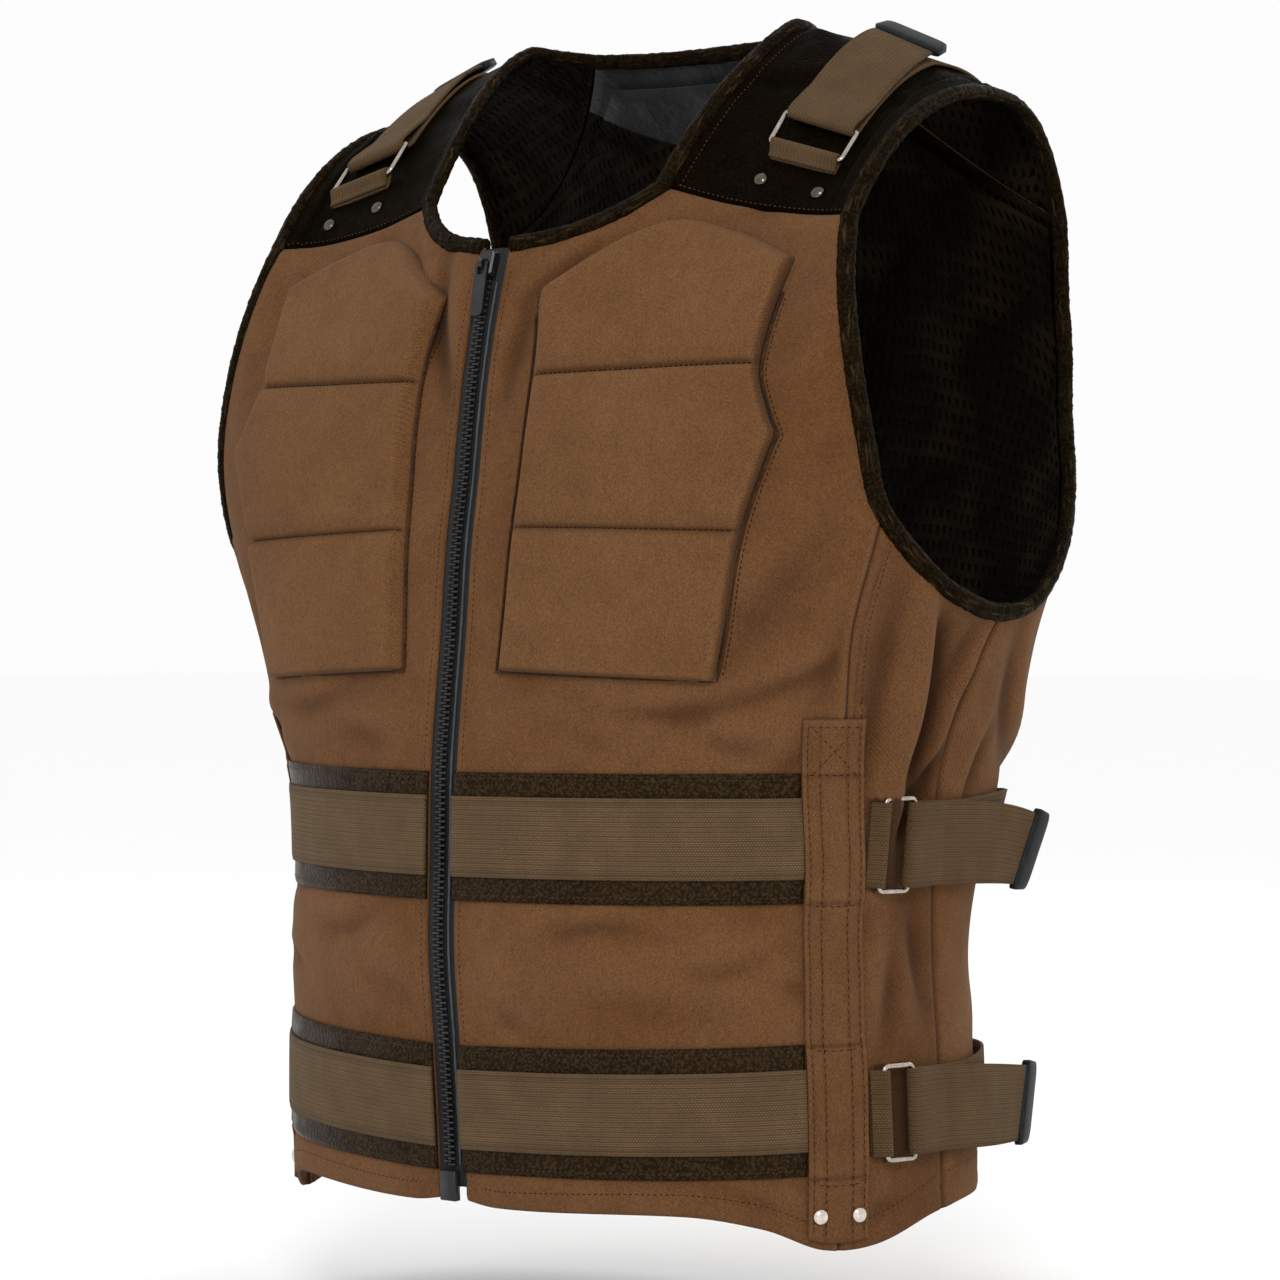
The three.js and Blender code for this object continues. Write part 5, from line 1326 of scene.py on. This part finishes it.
zip_tape = tape_finish("zip_tape", (0.019, 0.0195, 0.0195, 1))
zip_plastic = hard_finish("zip_plastic", (0.006, 0.006, 0.0065, 1), 0.34)
pull_plastic = hard_finish("pull_plastic", (0.005, 0.005, 0.0055, 1), 0.28)
cord_thread = hard_finish("cord_thread", (0.028, 0.031, 0.036, 1), 0.6)
for side, word in SIDES:
    tape = sew_in(f"tape_{word}", lay_cloth(tape_place, on_shell, 16, 170, side, tape_lift),
                  [zip_tape], [f"zip_tape_{word}"])
    thicken(tape, TAPE_THICK)


def at_zip(x, high, z):
    """A point over the zip, and the directions across, up and out there."""
    point, along, up, normal = on_shell(0.0, float(z))
    return Vector(point + along * x + normal * high), Vector(along), Vector(up), Vector(normal)


def set_on(point, across, up, out, size):
    """A shape of this size stands at a point, turned to these directions."""
    turned = Matrix((across * size[0], up * size[1], out * size[2])).transposed().to_4x4()
    return Matrix.Translation(point) @ turned


def chain_mesh():
    """Locked teeth from the slider down to the bottom box, every edge softened."""
    bm = bmesh.new()
    z = CHAIN_TOP - TOOTH_PITCH / 4
    while z > CHAIN_BOTTOM + 1:
        for side, _ in SIDES:
            frame_there = at_zip(side * (TOOTH[0] / 2 - 1), 0.1 + TOOTH[2] / 2,
                                 z - TOOTH_PITCH / 4 * side)
            bmesh.ops.create_cube(bm, size=1, matrix=set_on(*frame_there, TOOTH))
        z -= TOOTH_PITCH
    frame_there = at_zip(0, 0.2 + BOX_THICK / 2, (CHAIN_BOTTOM + BOX_BOTTOM) / 2)
    bmesh.ops.create_cube(bm, size=1, matrix=set_on(
        *frame_there, (2 * BOX_HALF, CHAIN_BOTTOM - BOX_BOTTOM, BOX_THICK)))
    bmesh.ops.bevel(bm, geom=bm.edges[:], offset=0.45, offset_type="OFFSET", segments=1,
                    profile=0.5, affect="EDGES", material=-1, clamp_overlap=True)
    return bm


sew_in("zip_teeth", chain_mesh(), [zip_plastic], ["zip_chain"])

z = np.linspace(CHAIN_TOP - 2, CHAIN_BOTTOM + 3, 300)
point, normal = standing(turn_at(np.full_like(z, ZIP_CORD_AT), z), z)
sew_roll("zip_cord", roll(point + normal, normal, False, 0.0, ZIP_CORD_HALF, ZIP_CORD_HALF,
                          0.1), 1, cord_thread)

for name, finish in (("zip_slider", zip_plastic), ("zip_pull", pull_plastic)):
    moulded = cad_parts[name]
    moulded.data.materials.clear()
    moulded.data.materials.append(finish)
    moulded.modifiers.new("weld", "WELD").merge_threshold = 0.00002
    soften = moulded.modifiers.new("soften", "BEVEL")
    soften.width, soften.segments, soften.limit_method = 0.00035, 2, "ANGLE"
    soften.angle_limit = math.radians(35)

# ---- Ring straps --------------------------------------------------------------------
# Ribbed webbing straps with a wire ring: two at each side of the waist and one over each
# shoulder. A short sewn tab holds the ring; the strap passes it and folds back on itself.
WEB_HALF = 23
LAY = WEB_THICK / 2 + 0.3                  # middle of the layer that lies on the vest
RING_WIRE, BAR_AT = 1.5, 8
WRAP = RING_WIRE + 0.3 + WEB_THICK / 2     # webbing's middle round a bar of the ring
RING_HIGH = 2.6 + 2.7
TIP_LONG, TIP_THICK = 14, 6.4
WEB_STEP, WEB_ACROSS = 1.4, 11             # how finely the webbing is laid
STRAP_SETS = [
    dict(name="side_upper", z=STRAP_LEVELS[0], ring=19, tail=124, tip_high=22, anchor=206, rise=5,
         slack=4, tilt=0.75, lean=3.5, droop=2, flare=4, flat=(0.046, 0.27)),
    dict(name="side_lower", z=STRAP_LEVELS[1], ring=19, tail=126, tip_high=26, anchor=206, rise=5,
         slack=4, tilt=0.75, lean=8, droop=7, flare=4, flat=(0.046, 0.27)),
    dict(name="shoulder", z=None, ring=23, tail=118, tip_high=7, anchor=174, rise=0,
         slack=0, tilt=0.2, lean=0, droop=0, flare=3, flat=(0.046, 0.21)),
]
SHOULDER_STRAP_START = -93
strap_webbing = webbing_finish("strap_webbing", (0.082, 0.0455, 0.0185, 1))
ring_nickel = hard_finish("ring_nickel", (0.36, 0.32, 0.27, 1), 0.26, 1.0)
tip_plastic = hard_finish("tip_plastic", (0.0052, 0.0062, 0.0075, 1), 0.42, gloss=0.14)


def side_way(z):
    """The way of a strap round the side: frames at millimetres from the tab's sewn end."""
    turns = [float(beside(np.array(z, float), STRAP_HALF + 1.7))]
    for _ in range(130):
        turns.append(turns[-1] + 2 / float(girth_at(np.array(turns[-1]), np.array(z, float))))
    def way(far):
        turn = np.interp(far, np.arange(len(turns)) * 2.0, turns)
        point, along, up, normal = on_shell(turn, np.full_like(turn, z))
        return point, normal, up, along
    return way


def shoulder_way():
    """The way over the shoulder, from under the ring back to the yoke's rear seam."""
    x = SHOULDER_STRAP_X
    places = [float(seam_point(x, SHOULDER_STRAP_START, False)[1])]
    for _ in range(110):
        y = places[-1]
        step = crown(np.array([x, x]), np.array([y + 0.2, y - 0.2]))
        places.append(y + 2 / (float(np.linalg.norm(step[0] - step[1])) / 0.4))
    def way(far):
        y = np.interp(far, np.arange(len(places)) * 2.0, places)
        point, along, up, normal = on_crown(np.full_like(y, x), y)
        return point, normal, along, up
    return way


def stops(far, high, shift=0.0, narrow=0.0, lean=0.0, pin=None):
    """Places that a webbing passes: how far along its way, how high over it, how far aside,
    how much narrower and how slanted it is there, and where its frame is read."""
    row = (far, high, shift, narrow, lean, far if pin is None else pin)
    return np.stack(np.broadcast_arrays(*[np.asarray(value, float) for value in row]), -1)


def round_bar(at, out, start, end):
    """Webbing turned round a bar of the ring, through a range of degrees."""
    angle = np.radians(np.linspace(start, end, 15))
    return stops(at + out * WRAP * np.cos(angle), RING_HIGH - WRAP * np.sin(angle), pin=at)


def ribbon(rows, way):
    """A net of webbing along its stops: columns across it, rows along it."""
    far, high, shift, narrow, lean, pin = rows.T
    point, normal, across, ahead = way(pin)
    middle = (point + normal * high[:, None] + across * shift[:, None]
              + ahead * (far - pin)[:, None])
    length = length_along(middle)
    fine = np.linspace(0, length[-1], int(length[-1] / WEB_STEP))
    middle, across = read_along(middle, length, fine), read_along(across, length, fine)
    narrow, lean = np.interp(fine, length, narrow), np.interp(fine, length, lean)
    ahead = unit(np.gradient(middle, axis=0))
    w = np.linspace(-1, 1, WEB_ACROSS + 1)[:, None, None]
    return middle + across * w * (WEB_HALF - narrow)[:, None] + ahead * w * lean[:, None]


def ring_net(way, long):
    """A rounded rectangle of wire through both folds of the webbing."""
    half, corner = WEB_HALF + 0.6 + RING_WIRE, 2.6
    quarter_turn = np.radians(np.linspace(0, 90, 7))
    path = []
    for sideways, rising in ((1, True), (-1, False)):
        for at, out in ([(BAR_AT, -1), (BAR_AT + long, 1)] if rising
                        else [(BAR_AT + long, 1), (BAR_AT, -1)]):
            turns = quarter_turn[::-1] if out * sideways > 0 else quarter_turn
            path += [(at - out * corner + out * corner * math.cos(t),
                      sideways * (half - corner + corner * math.sin(t))) for t in turns]
    path = np.array(path + path[:1])
    steps = length_along(path)
    fine = np.unique(np.concatenate([steps, np.linspace(0, steps[-1], 60)]).round(4))
    far, wide = np.interp(fine, steps, path[:, 0]), np.interp(fine, steps, path[:, 1])
    low, high = [[part[0] for part in way(np.array([place]))]
                 for place in (BAR_AT, BAR_AT + long)]
    share = ((far - BAR_AT) / long)[:, None]
    across = unit(low[2] * (1 - share) + high[2] * share)
    middle = ((low[0] + low[1] * RING_HIGH) * (1 - share)
              + (high[0] + high[1] * RING_HIGH) * share + across * wide[:, None])
    normal = np.repeat(way(np.array([BAR_AT + long / 2]))[1], len(middle) - 1, axis=0)
    return roll(middle[:-1] + normal * (CANVAS_THICK / 2), normal, True, 0.0, RING_WIRE,
                RING_WIRE, 0.0001)[0]


def tab_stops():
    """The tab goes out over its sewn end, round the ring's near bar and back beneath."""
    ease = np.linspace(0, 1, 14)
    return np.concatenate([
        stops(0.4 + 3.1 * ease, LAY + WEB_THICK + 0.3 + 0.8 * ease**2),
        round_bar(BAR_AT, 1, -90, 90),
        stops(3.5 - 3.1 * ease, LAY - 0.2)])


def strap_stops(kit, side):
    """The strap goes from its anchor to the ring's far bar, round it and back over itself."""
    t = np.linspace(0, 1, 60)
    far_bar, anchor, tail = BAR_AT + kit["ring"], kit["anchor"], kit["tail"]
    uneven = 1 + (0.15 if side > 0 else -0.2) * np.sin(7 * t)
    under = stops(anchor + (far_bar + 5 - anchor) * t,
                  LAY + kit["slack"] * np.sin(math.pi * t) ** 2 * uneven,
                  kit["rise"] * np.sin(math.pi * np.minimum(t * 1.3, 1)))
    over_far = far_bar + 4 + (tail - far_bar - 4) * t
    below = LAY + kit["slack"] * np.sin(
        math.pi * (anchor - over_far) / (anchor - far_bar - 5)) ** 2
    touch, start = below + WEB_THICK + 0.6, RING_HIGH + WRAP - 0.2
    height = start + (touch - start) * np.minimum(t * 4, 1)
    over = stops(over_far, height + (kit["tip_high"] - height) * t ** kit["flare"],
                 -kit["droop"] * t**2, 2 * t**4, kit["lean"] * t**3)
    return np.concatenate([under, round_bar(far_bar, -1, 90, -90), over])


def tip_mesh(kit, way, side):
    """The moulded tip on a strap's end, thickest at its middle and narrower at its far end."""
    end, before = [[part[0] for part in way(np.array([place]))]
                   for place in (kit["tail"] + 0.4, kit["tail"] - 4)]
    foot = end[0] + end[1] * kit["tip_high"] - end[2] * kit["droop"]
    ahead = unit(foot - before[0] - before[1] * (kit["tip_high"] - 4 * kit["tilt"])
                 + before[2] * kit["droop"] * 0.92)
    across, thick = end[2], np.cross(end[2], ahead)
    bm = bmesh.new()
    bmesh.ops.create_cube(bm, size=1)
    bmesh.ops.bevel(bm, geom=bm.edges[:], offset=0.2, offset_type="OFFSET", segments=5,
                    profile=0.5, affect="EDGES", material=-1)
    for vertex in bm.verts:
        w, long, high = 2 * vertex.co.x, vertex.co.y + 0.5, 2 * vertex.co.z
        fat = TIP_THICK / 2 * (1 - 0.3 * (2 * long - 1) ** 4)
        spot = (foot + ahead * (long * TIP_LONG + w * kit["lean"] * 1.1)
                + across * w * (WEB_HALF + 1 - 2 * long) + thick * high * fat)
        vertex.co = spot * (side, 1, 1)
    bmesh.ops.recalc_face_normals(bm, faces=bm.faces[:])
    return bm


for kit in STRAP_SETS:
    base = kit["name"]
    way = shoulder_way() if kit["z"] is None else side_way(kit["z"])
    for side, word in SIDES:
        tab = sew_in(f"{base}_loop_{word}", woven(ribbon(tab_stops(), way), side),
                     [strap_webbing], [f"{base}_tab_{word}"])
        thicken(tab, WEB_THICK, 0)
        cloth = woven(ribbon(strap_stops(kit, side), way), side)
        strap = sew_in(f"{base}_webbing_{word}", cloth, [strap_webbing],
                       [f"{base}_strap_{word}"])
        thicken(strap, WEB_THICK, 0)

        bm = woven(ring_net(way, kit["ring"]), side, closed=True)
        bmesh.ops.remove_doubles(bm, verts=bm.verts[:], dist=0.01)
        bmesh.ops.recalc_face_normals(bm, faces=bm.faces[:])
        sew_in(f"{base}_wire_{word}", bm, [ring_nickel], [f"{base}_ring_{word}"])
        sew_in(f"{base}_cap_{word}", tip_mesh(kit, way, side), [tip_plastic],
               [f"{base}_tip_{word}"])

# ---- Dome rivets --------------------------------------------------------------------
# Small nickel domes: two through each yoke under the shoulder tab, and two through the
# foot of each upright strap at the hem.
RIVET_PROFILE = [(4.2, -0.6), (4.3, 0.25), (3.95, 0.9), (3.2, 1.5), (2.1, 2.05), (1.0, 2.3),
                 (0, 2.35)]
dark_nickel = hard_finish("dark_nickel", (0.085, 0.072, 0.056, 1), 0.2, 1.0)
bright_nickel = hard_finish("bright_nickel", (0.62, 0.56, 0.50, 1), 0.24, 1.0)
yoke_rivets = [("yoke_rivet_inner", 144.0, -99.0), ("yoke_rivet_outer", 183.0, -108.0)]
hem_rivets = [("hem_rivet_front", -11.0), ("hem_rivet_rear", 11.0)]
HEM_RIVET_LEVEL = np.array(-657.0)


def dome(point, normal, high, side):
    """A rivet's head, turned from its profile and set on the cloth."""
    bm = bmesh.new()
    corners = [bm.verts.new((r, 0, h)) for r, h in RIVET_PROFILE]
    edges = [bm.edges.new(pair) for pair in zip(corners, corners[1:])]
    bmesh.ops.spin(bm, geom=corners + edges, cent=(0, 0, 0), axis=(0, 0, 1), dvec=(0, 0, 0),
                   angle=2 * math.pi, steps=28, use_merge=True, use_duplicate=False)
    bmesh.ops.remove_doubles(bm, verts=bm.verts[:], dist=0.001)
    bmesh.ops.transform(bm, verts=bm.verts[:], matrix=Matrix.Translation(
        Vector(point + normal * high)) @ Vector(normal).to_track_quat("Z", "Y").to_matrix()
        .to_4x4())
    if side < 0:
        bmesh.ops.scale(bm, verts=bm.verts[:], vec=(-1, 1, 1))
    bmesh.ops.recalc_face_normals(bm, faces=bm.faces[:])
    return bm


for side, word in SIDES:
    for name, x, z in yoke_rivets:
        spot = seam_point(x, z, False)
        point, _, _, normal = on_crown(spot[0], spot[1])
        sew_in(f"{name}_dome_{word}", dome(point, normal, 0.3, side), [dark_nickel],
               [f"{name}_{word}"])
    for name, distance in hem_rivets:
        point, normal = standing(beside(HEM_RIVET_LEVEL, distance), HEM_RIVET_LEVEL)
        sew_in(f"{name}_dome_{word}", dome(point, normal, ON_PANEL + CANVAS_THICK + 0.6, side),
               [bright_nickel], [f"{name}_{word}"])

# ---- Stitching ----------------------------------------------------------------------
# Rows of thread hold the seams, hems, pads, bands and straps: red-brown on the panels,
# dark on pads and upright straps, tan on leather. Each stitch is a small spindle.
SPINDLE_SINK, REACH = 0.12, 22
HEM_STITCHES, SEAM_STITCHES, ZIP_STITCHES = 9.5, 9, 4.4    # in from each edge


def settled(points, normals, cloth_faces, side):
    """The points dropped onto the cloth that is really there."""
    flip = np.array([side, 1, 1])
    points, normals = points * flip, normals * flip
    landed = []
    for point, normal in zip(points, normals):
        hit = cloth_faces.ray_cast(Vector(point + normal * REACH), Vector(-normal), 2 * REACH)
        landed.append(point if hit[0] is None else np.array(hit[0]))
    return np.array(landed), normals


def sewn(name, rows, finish, pitch=3.4, long=2.5, fat=0.62, slant=0.0):
    """One piece made of all the stitches along some rows of points and normals."""
    whole = bmesh.new()
    for points, normals in rows:
        length = length_along(points)
        places = np.arange(pitch / 2, length[-1], pitch)
        at, out = read_along(points, length, places), read_along(normals, length, places)
        ahead = (read_along(points, length, places + 0.6)
                 - read_along(points, length, places - 0.6))
        row = bmesh.new()
        for spot, forward, normal in zip(at, ahead, out):
            normal, forward = Vector(normal).normalized(), Vector(forward)
            forward = (forward - normal * forward.dot(normal)).normalized()
            forward.rotate(Matrix.Rotation(slant, 3, normal))
            bmesh.ops.create_icosphere(row, subdivisions=1, radius=0.5, matrix=set_on(
                Vector(spot) - normal * SPINDLE_SINK, forward, normal.cross(forward), normal,
                (long, fat, fat)))
        loose = bpy.data.meshes.new("row")
        row.to_mesh(loose)
        row.free()
        whole.from_mesh(loose)
        bpy.data.meshes.remove(loose)
    return sew_in(name, whole, [finish])


def thread_finish(name, colour):
    """Twisted polyester thread: a slight shine, slightly mixed in tone."""
    finish, tree, skin = begin_finish(name, {"Roughness": 0.6, "Specular IOR Level": 0.08})
    mixed = noise(tree, node(tree, "TexCoord").outputs["Object"], 240)
    tree.links.new(tinted(tree, colour, (mixed, 0.3, 0.7, 1, toned(colour, 0.5))),
                   skin.inputs["Base Color"])
    return finish


def line_on(place, u, v):
    """Points and normals on the outer face, along a line in the shares of a cloth."""
    return standing(*place(*np.broadcast_arrays(u, v)))


def down(z_from, z_to, x):
    """Places at one distance from the middle line, between two heights."""
    z = np.linspace(z_from, z_to, 260)
    return standing(turn_at(np.full_like(z, x), z), z)


def along_seam(z_from, z_to, distance):
    """Places beside the side-front seam."""
    z = np.linspace(z_from, z_to, 200)
    return standing(seam_turn(z) + distance / girth_at(seam_turn(z), z), z)


def along_hem(turn_from, turn_to, steps=240):
    """Places above the hem's edge."""
    turn = np.linspace(turn_from, turn_to, steps)
    return standing(turn, hem_height(np.where(turn > 180, 360 - turn, turn)) + HEM_STITCHES)


canvas_thread = thread_finish("canvas_thread", (0.040, 0.0105, 0.0042, 1))
tan_thread = thread_finish("tan_thread", (0.13, 0.08, 0.036, 1))
band_thread = thread_finish("band_thread", (0.062, 0.040, 0.020, 1))
dark_thread = thread_finish("dark_thread", (0.0105, 0.0042, 0.0018, 1))
spaced = np.linspace(0.012, 0.988, 150)
STRAP_BOX, STRAP_END = 1 - 29 / 273, 0.985 # foot and top of the boxed cross, as shares
for side, word in SIDES:
    rows = [settled(*row, front_faces[side], side) for row in (
        down(-146, -646, ZIP_HALF + ZIP_STITCHES), along_hem(6, 58))]
    rows += [settled(*row, side_faces[side], side) for row in (
        along_seam(-402, -300, SEAM_STITCHES), along_hem(68.5, 86.5))]
    half_back = (89.5, 180) if side > 0 else (180, 270.5)
    rows += [settled(*along_hem(*half_back, 300), back_faces, 1)]
    sewn(f"canvas_stitches_{word}", rows, canvas_thread, 3.4, 2.4, 0.7)

    rows = [settled(*line_on(pad_place, spaced * 0.97 + 0.02, share), pad_faces[side], side)
            for share in (2 / 7, 5 / 7)]
    rows += [settled(*line_on(pad_place, u, v), front_faces[side], side)
             for u, v in ((1.024, spaced * 0.9), (-0.008, spaced))]
    sewn(f"pad_stitches_{word}", rows, dark_thread, 3.2, 2.6, 0.8)

    rows = [settled(*line_on(band_place(band["top"], band["drop"], 0, BAND_TALL), spaced, v),
                    band_faces[side, band["word"]], side)
            for band in BANDS for v in (3.4 / BAND_TALL, 1 - 3.4 / BAND_TALL)]
    sewn(f"band_stitches_{word}", rows, band_thread, 3.4, 2.5, 0.6, 0.42)

    lines = [(row / (2 * STRAP_HALF), spaced * reach)
             for row, reach in zip(UPRIGHT_ROWS, (1, 0.885, 0.885, 1))]
    lines += [(0.08 + 0.84 * spaced, v) for v in (STRAP_BOX, STRAP_END)]
    lines += [(np.linspace(*ends, 60), np.linspace(STRAP_BOX, STRAP_END, 60))
              for ends in ((0.14, 0.86), (0.86, 0.14))]
    lines += [(0.13 + 0.74 * spaced, (height - UPRIGHT_FOOT) / (UPRIGHT_TOP - UPRIGHT_FOOT))
              for height in CROSS_ROWS[1:]]
    rows = [settled(*line_on(upright_place, u, v), upright_faces[side], side)
            for u, v in lines]
    sewn(f"upright_stitches_{word}", rows, dark_thread, 4.2, 3.2, 0.62)

    x = np.linspace(NECK_X + 8, ARM_X - 6, 120)
    rows = []
    for line in (seam_point(x, yoke_seam(x) + 2.6, False),
                 neck_side(np.linspace(0.02, 0.98, 160)) + (9.5, 0)):
        point, _, _, normal = on_crown(*line.T)
        rows += [settled(point, normal, yoke_faces[side], side)]
    sewn(f"yoke_stitches_{word}", rows, tan_thread, 3.2, 2.2, 0.45)

# ---- Floor, light and backdrop ------------------------------------------------------
# Pale seamless floor under white air. A soft key lamp stands high behind the camera, a
# weak one at its left, and one behind the vest draws the far edges.
FLOOR_LEVEL, FLOOR_HALF = -0.74, 30        # metres
bm = bmesh.new()
bmesh.ops.create_grid(bm, x_segments=1, y_segments=1, size=FLOOR_HALF)
bmesh.ops.translate(bm, verts=bm.verts[:], vec=(0, 0, FLOOR_LEVEL))
floor_mesh = bpy.data.meshes.new("floor")
bm.to_mesh(floor_mesh)
bm.free()
floor = bpy.data.objects.new("floor", floor_mesh)
bpy.context.scene.collection.objects.link(floor)
paper, _, _ = begin_finish("paper", {"Roughness": 0.9, "Base Color": (0.98, 0.98, 0.98, 1)})
floor_mesh.materials.append(paper)

AIM = Vector((0, 0, -0.33))
LAMPS = [
    dict(name="key", at=(1.9, -2.4, 1.5), size=0.9, watts=44),
    dict(name="fill", at=(-2.4, -2.0, 0.4), size=1.4, watts=1),
    dict(name="rim", at=(0.6, 2.4, 1.2), size=1.0, watts=10),
]
for row in LAMPS:
    lamp = bpy.data.objects.new(row["name"], bpy.data.lights.new(row["name"], "AREA"))
    bpy.context.scene.collection.objects.link(lamp)
    lamp.location = row["at"]
    lamp.rotation_euler = (AIM - lamp.location).to_track_quat("-Z", "Y").to_euler()
    lamp.data.size, lamp.data.energy = row["size"], row["watts"]

air = bpy.data.worlds.new("air")
bpy.context.scene.world = air
air.use_nodes = True
white = air.node_tree.nodes["Background"].inputs
white["Color"].default_value, white["Strength"].default_value = (1, 1, 1, 1), 0.98
bpy.context.scene.view_settings.view_transform = "Standard"
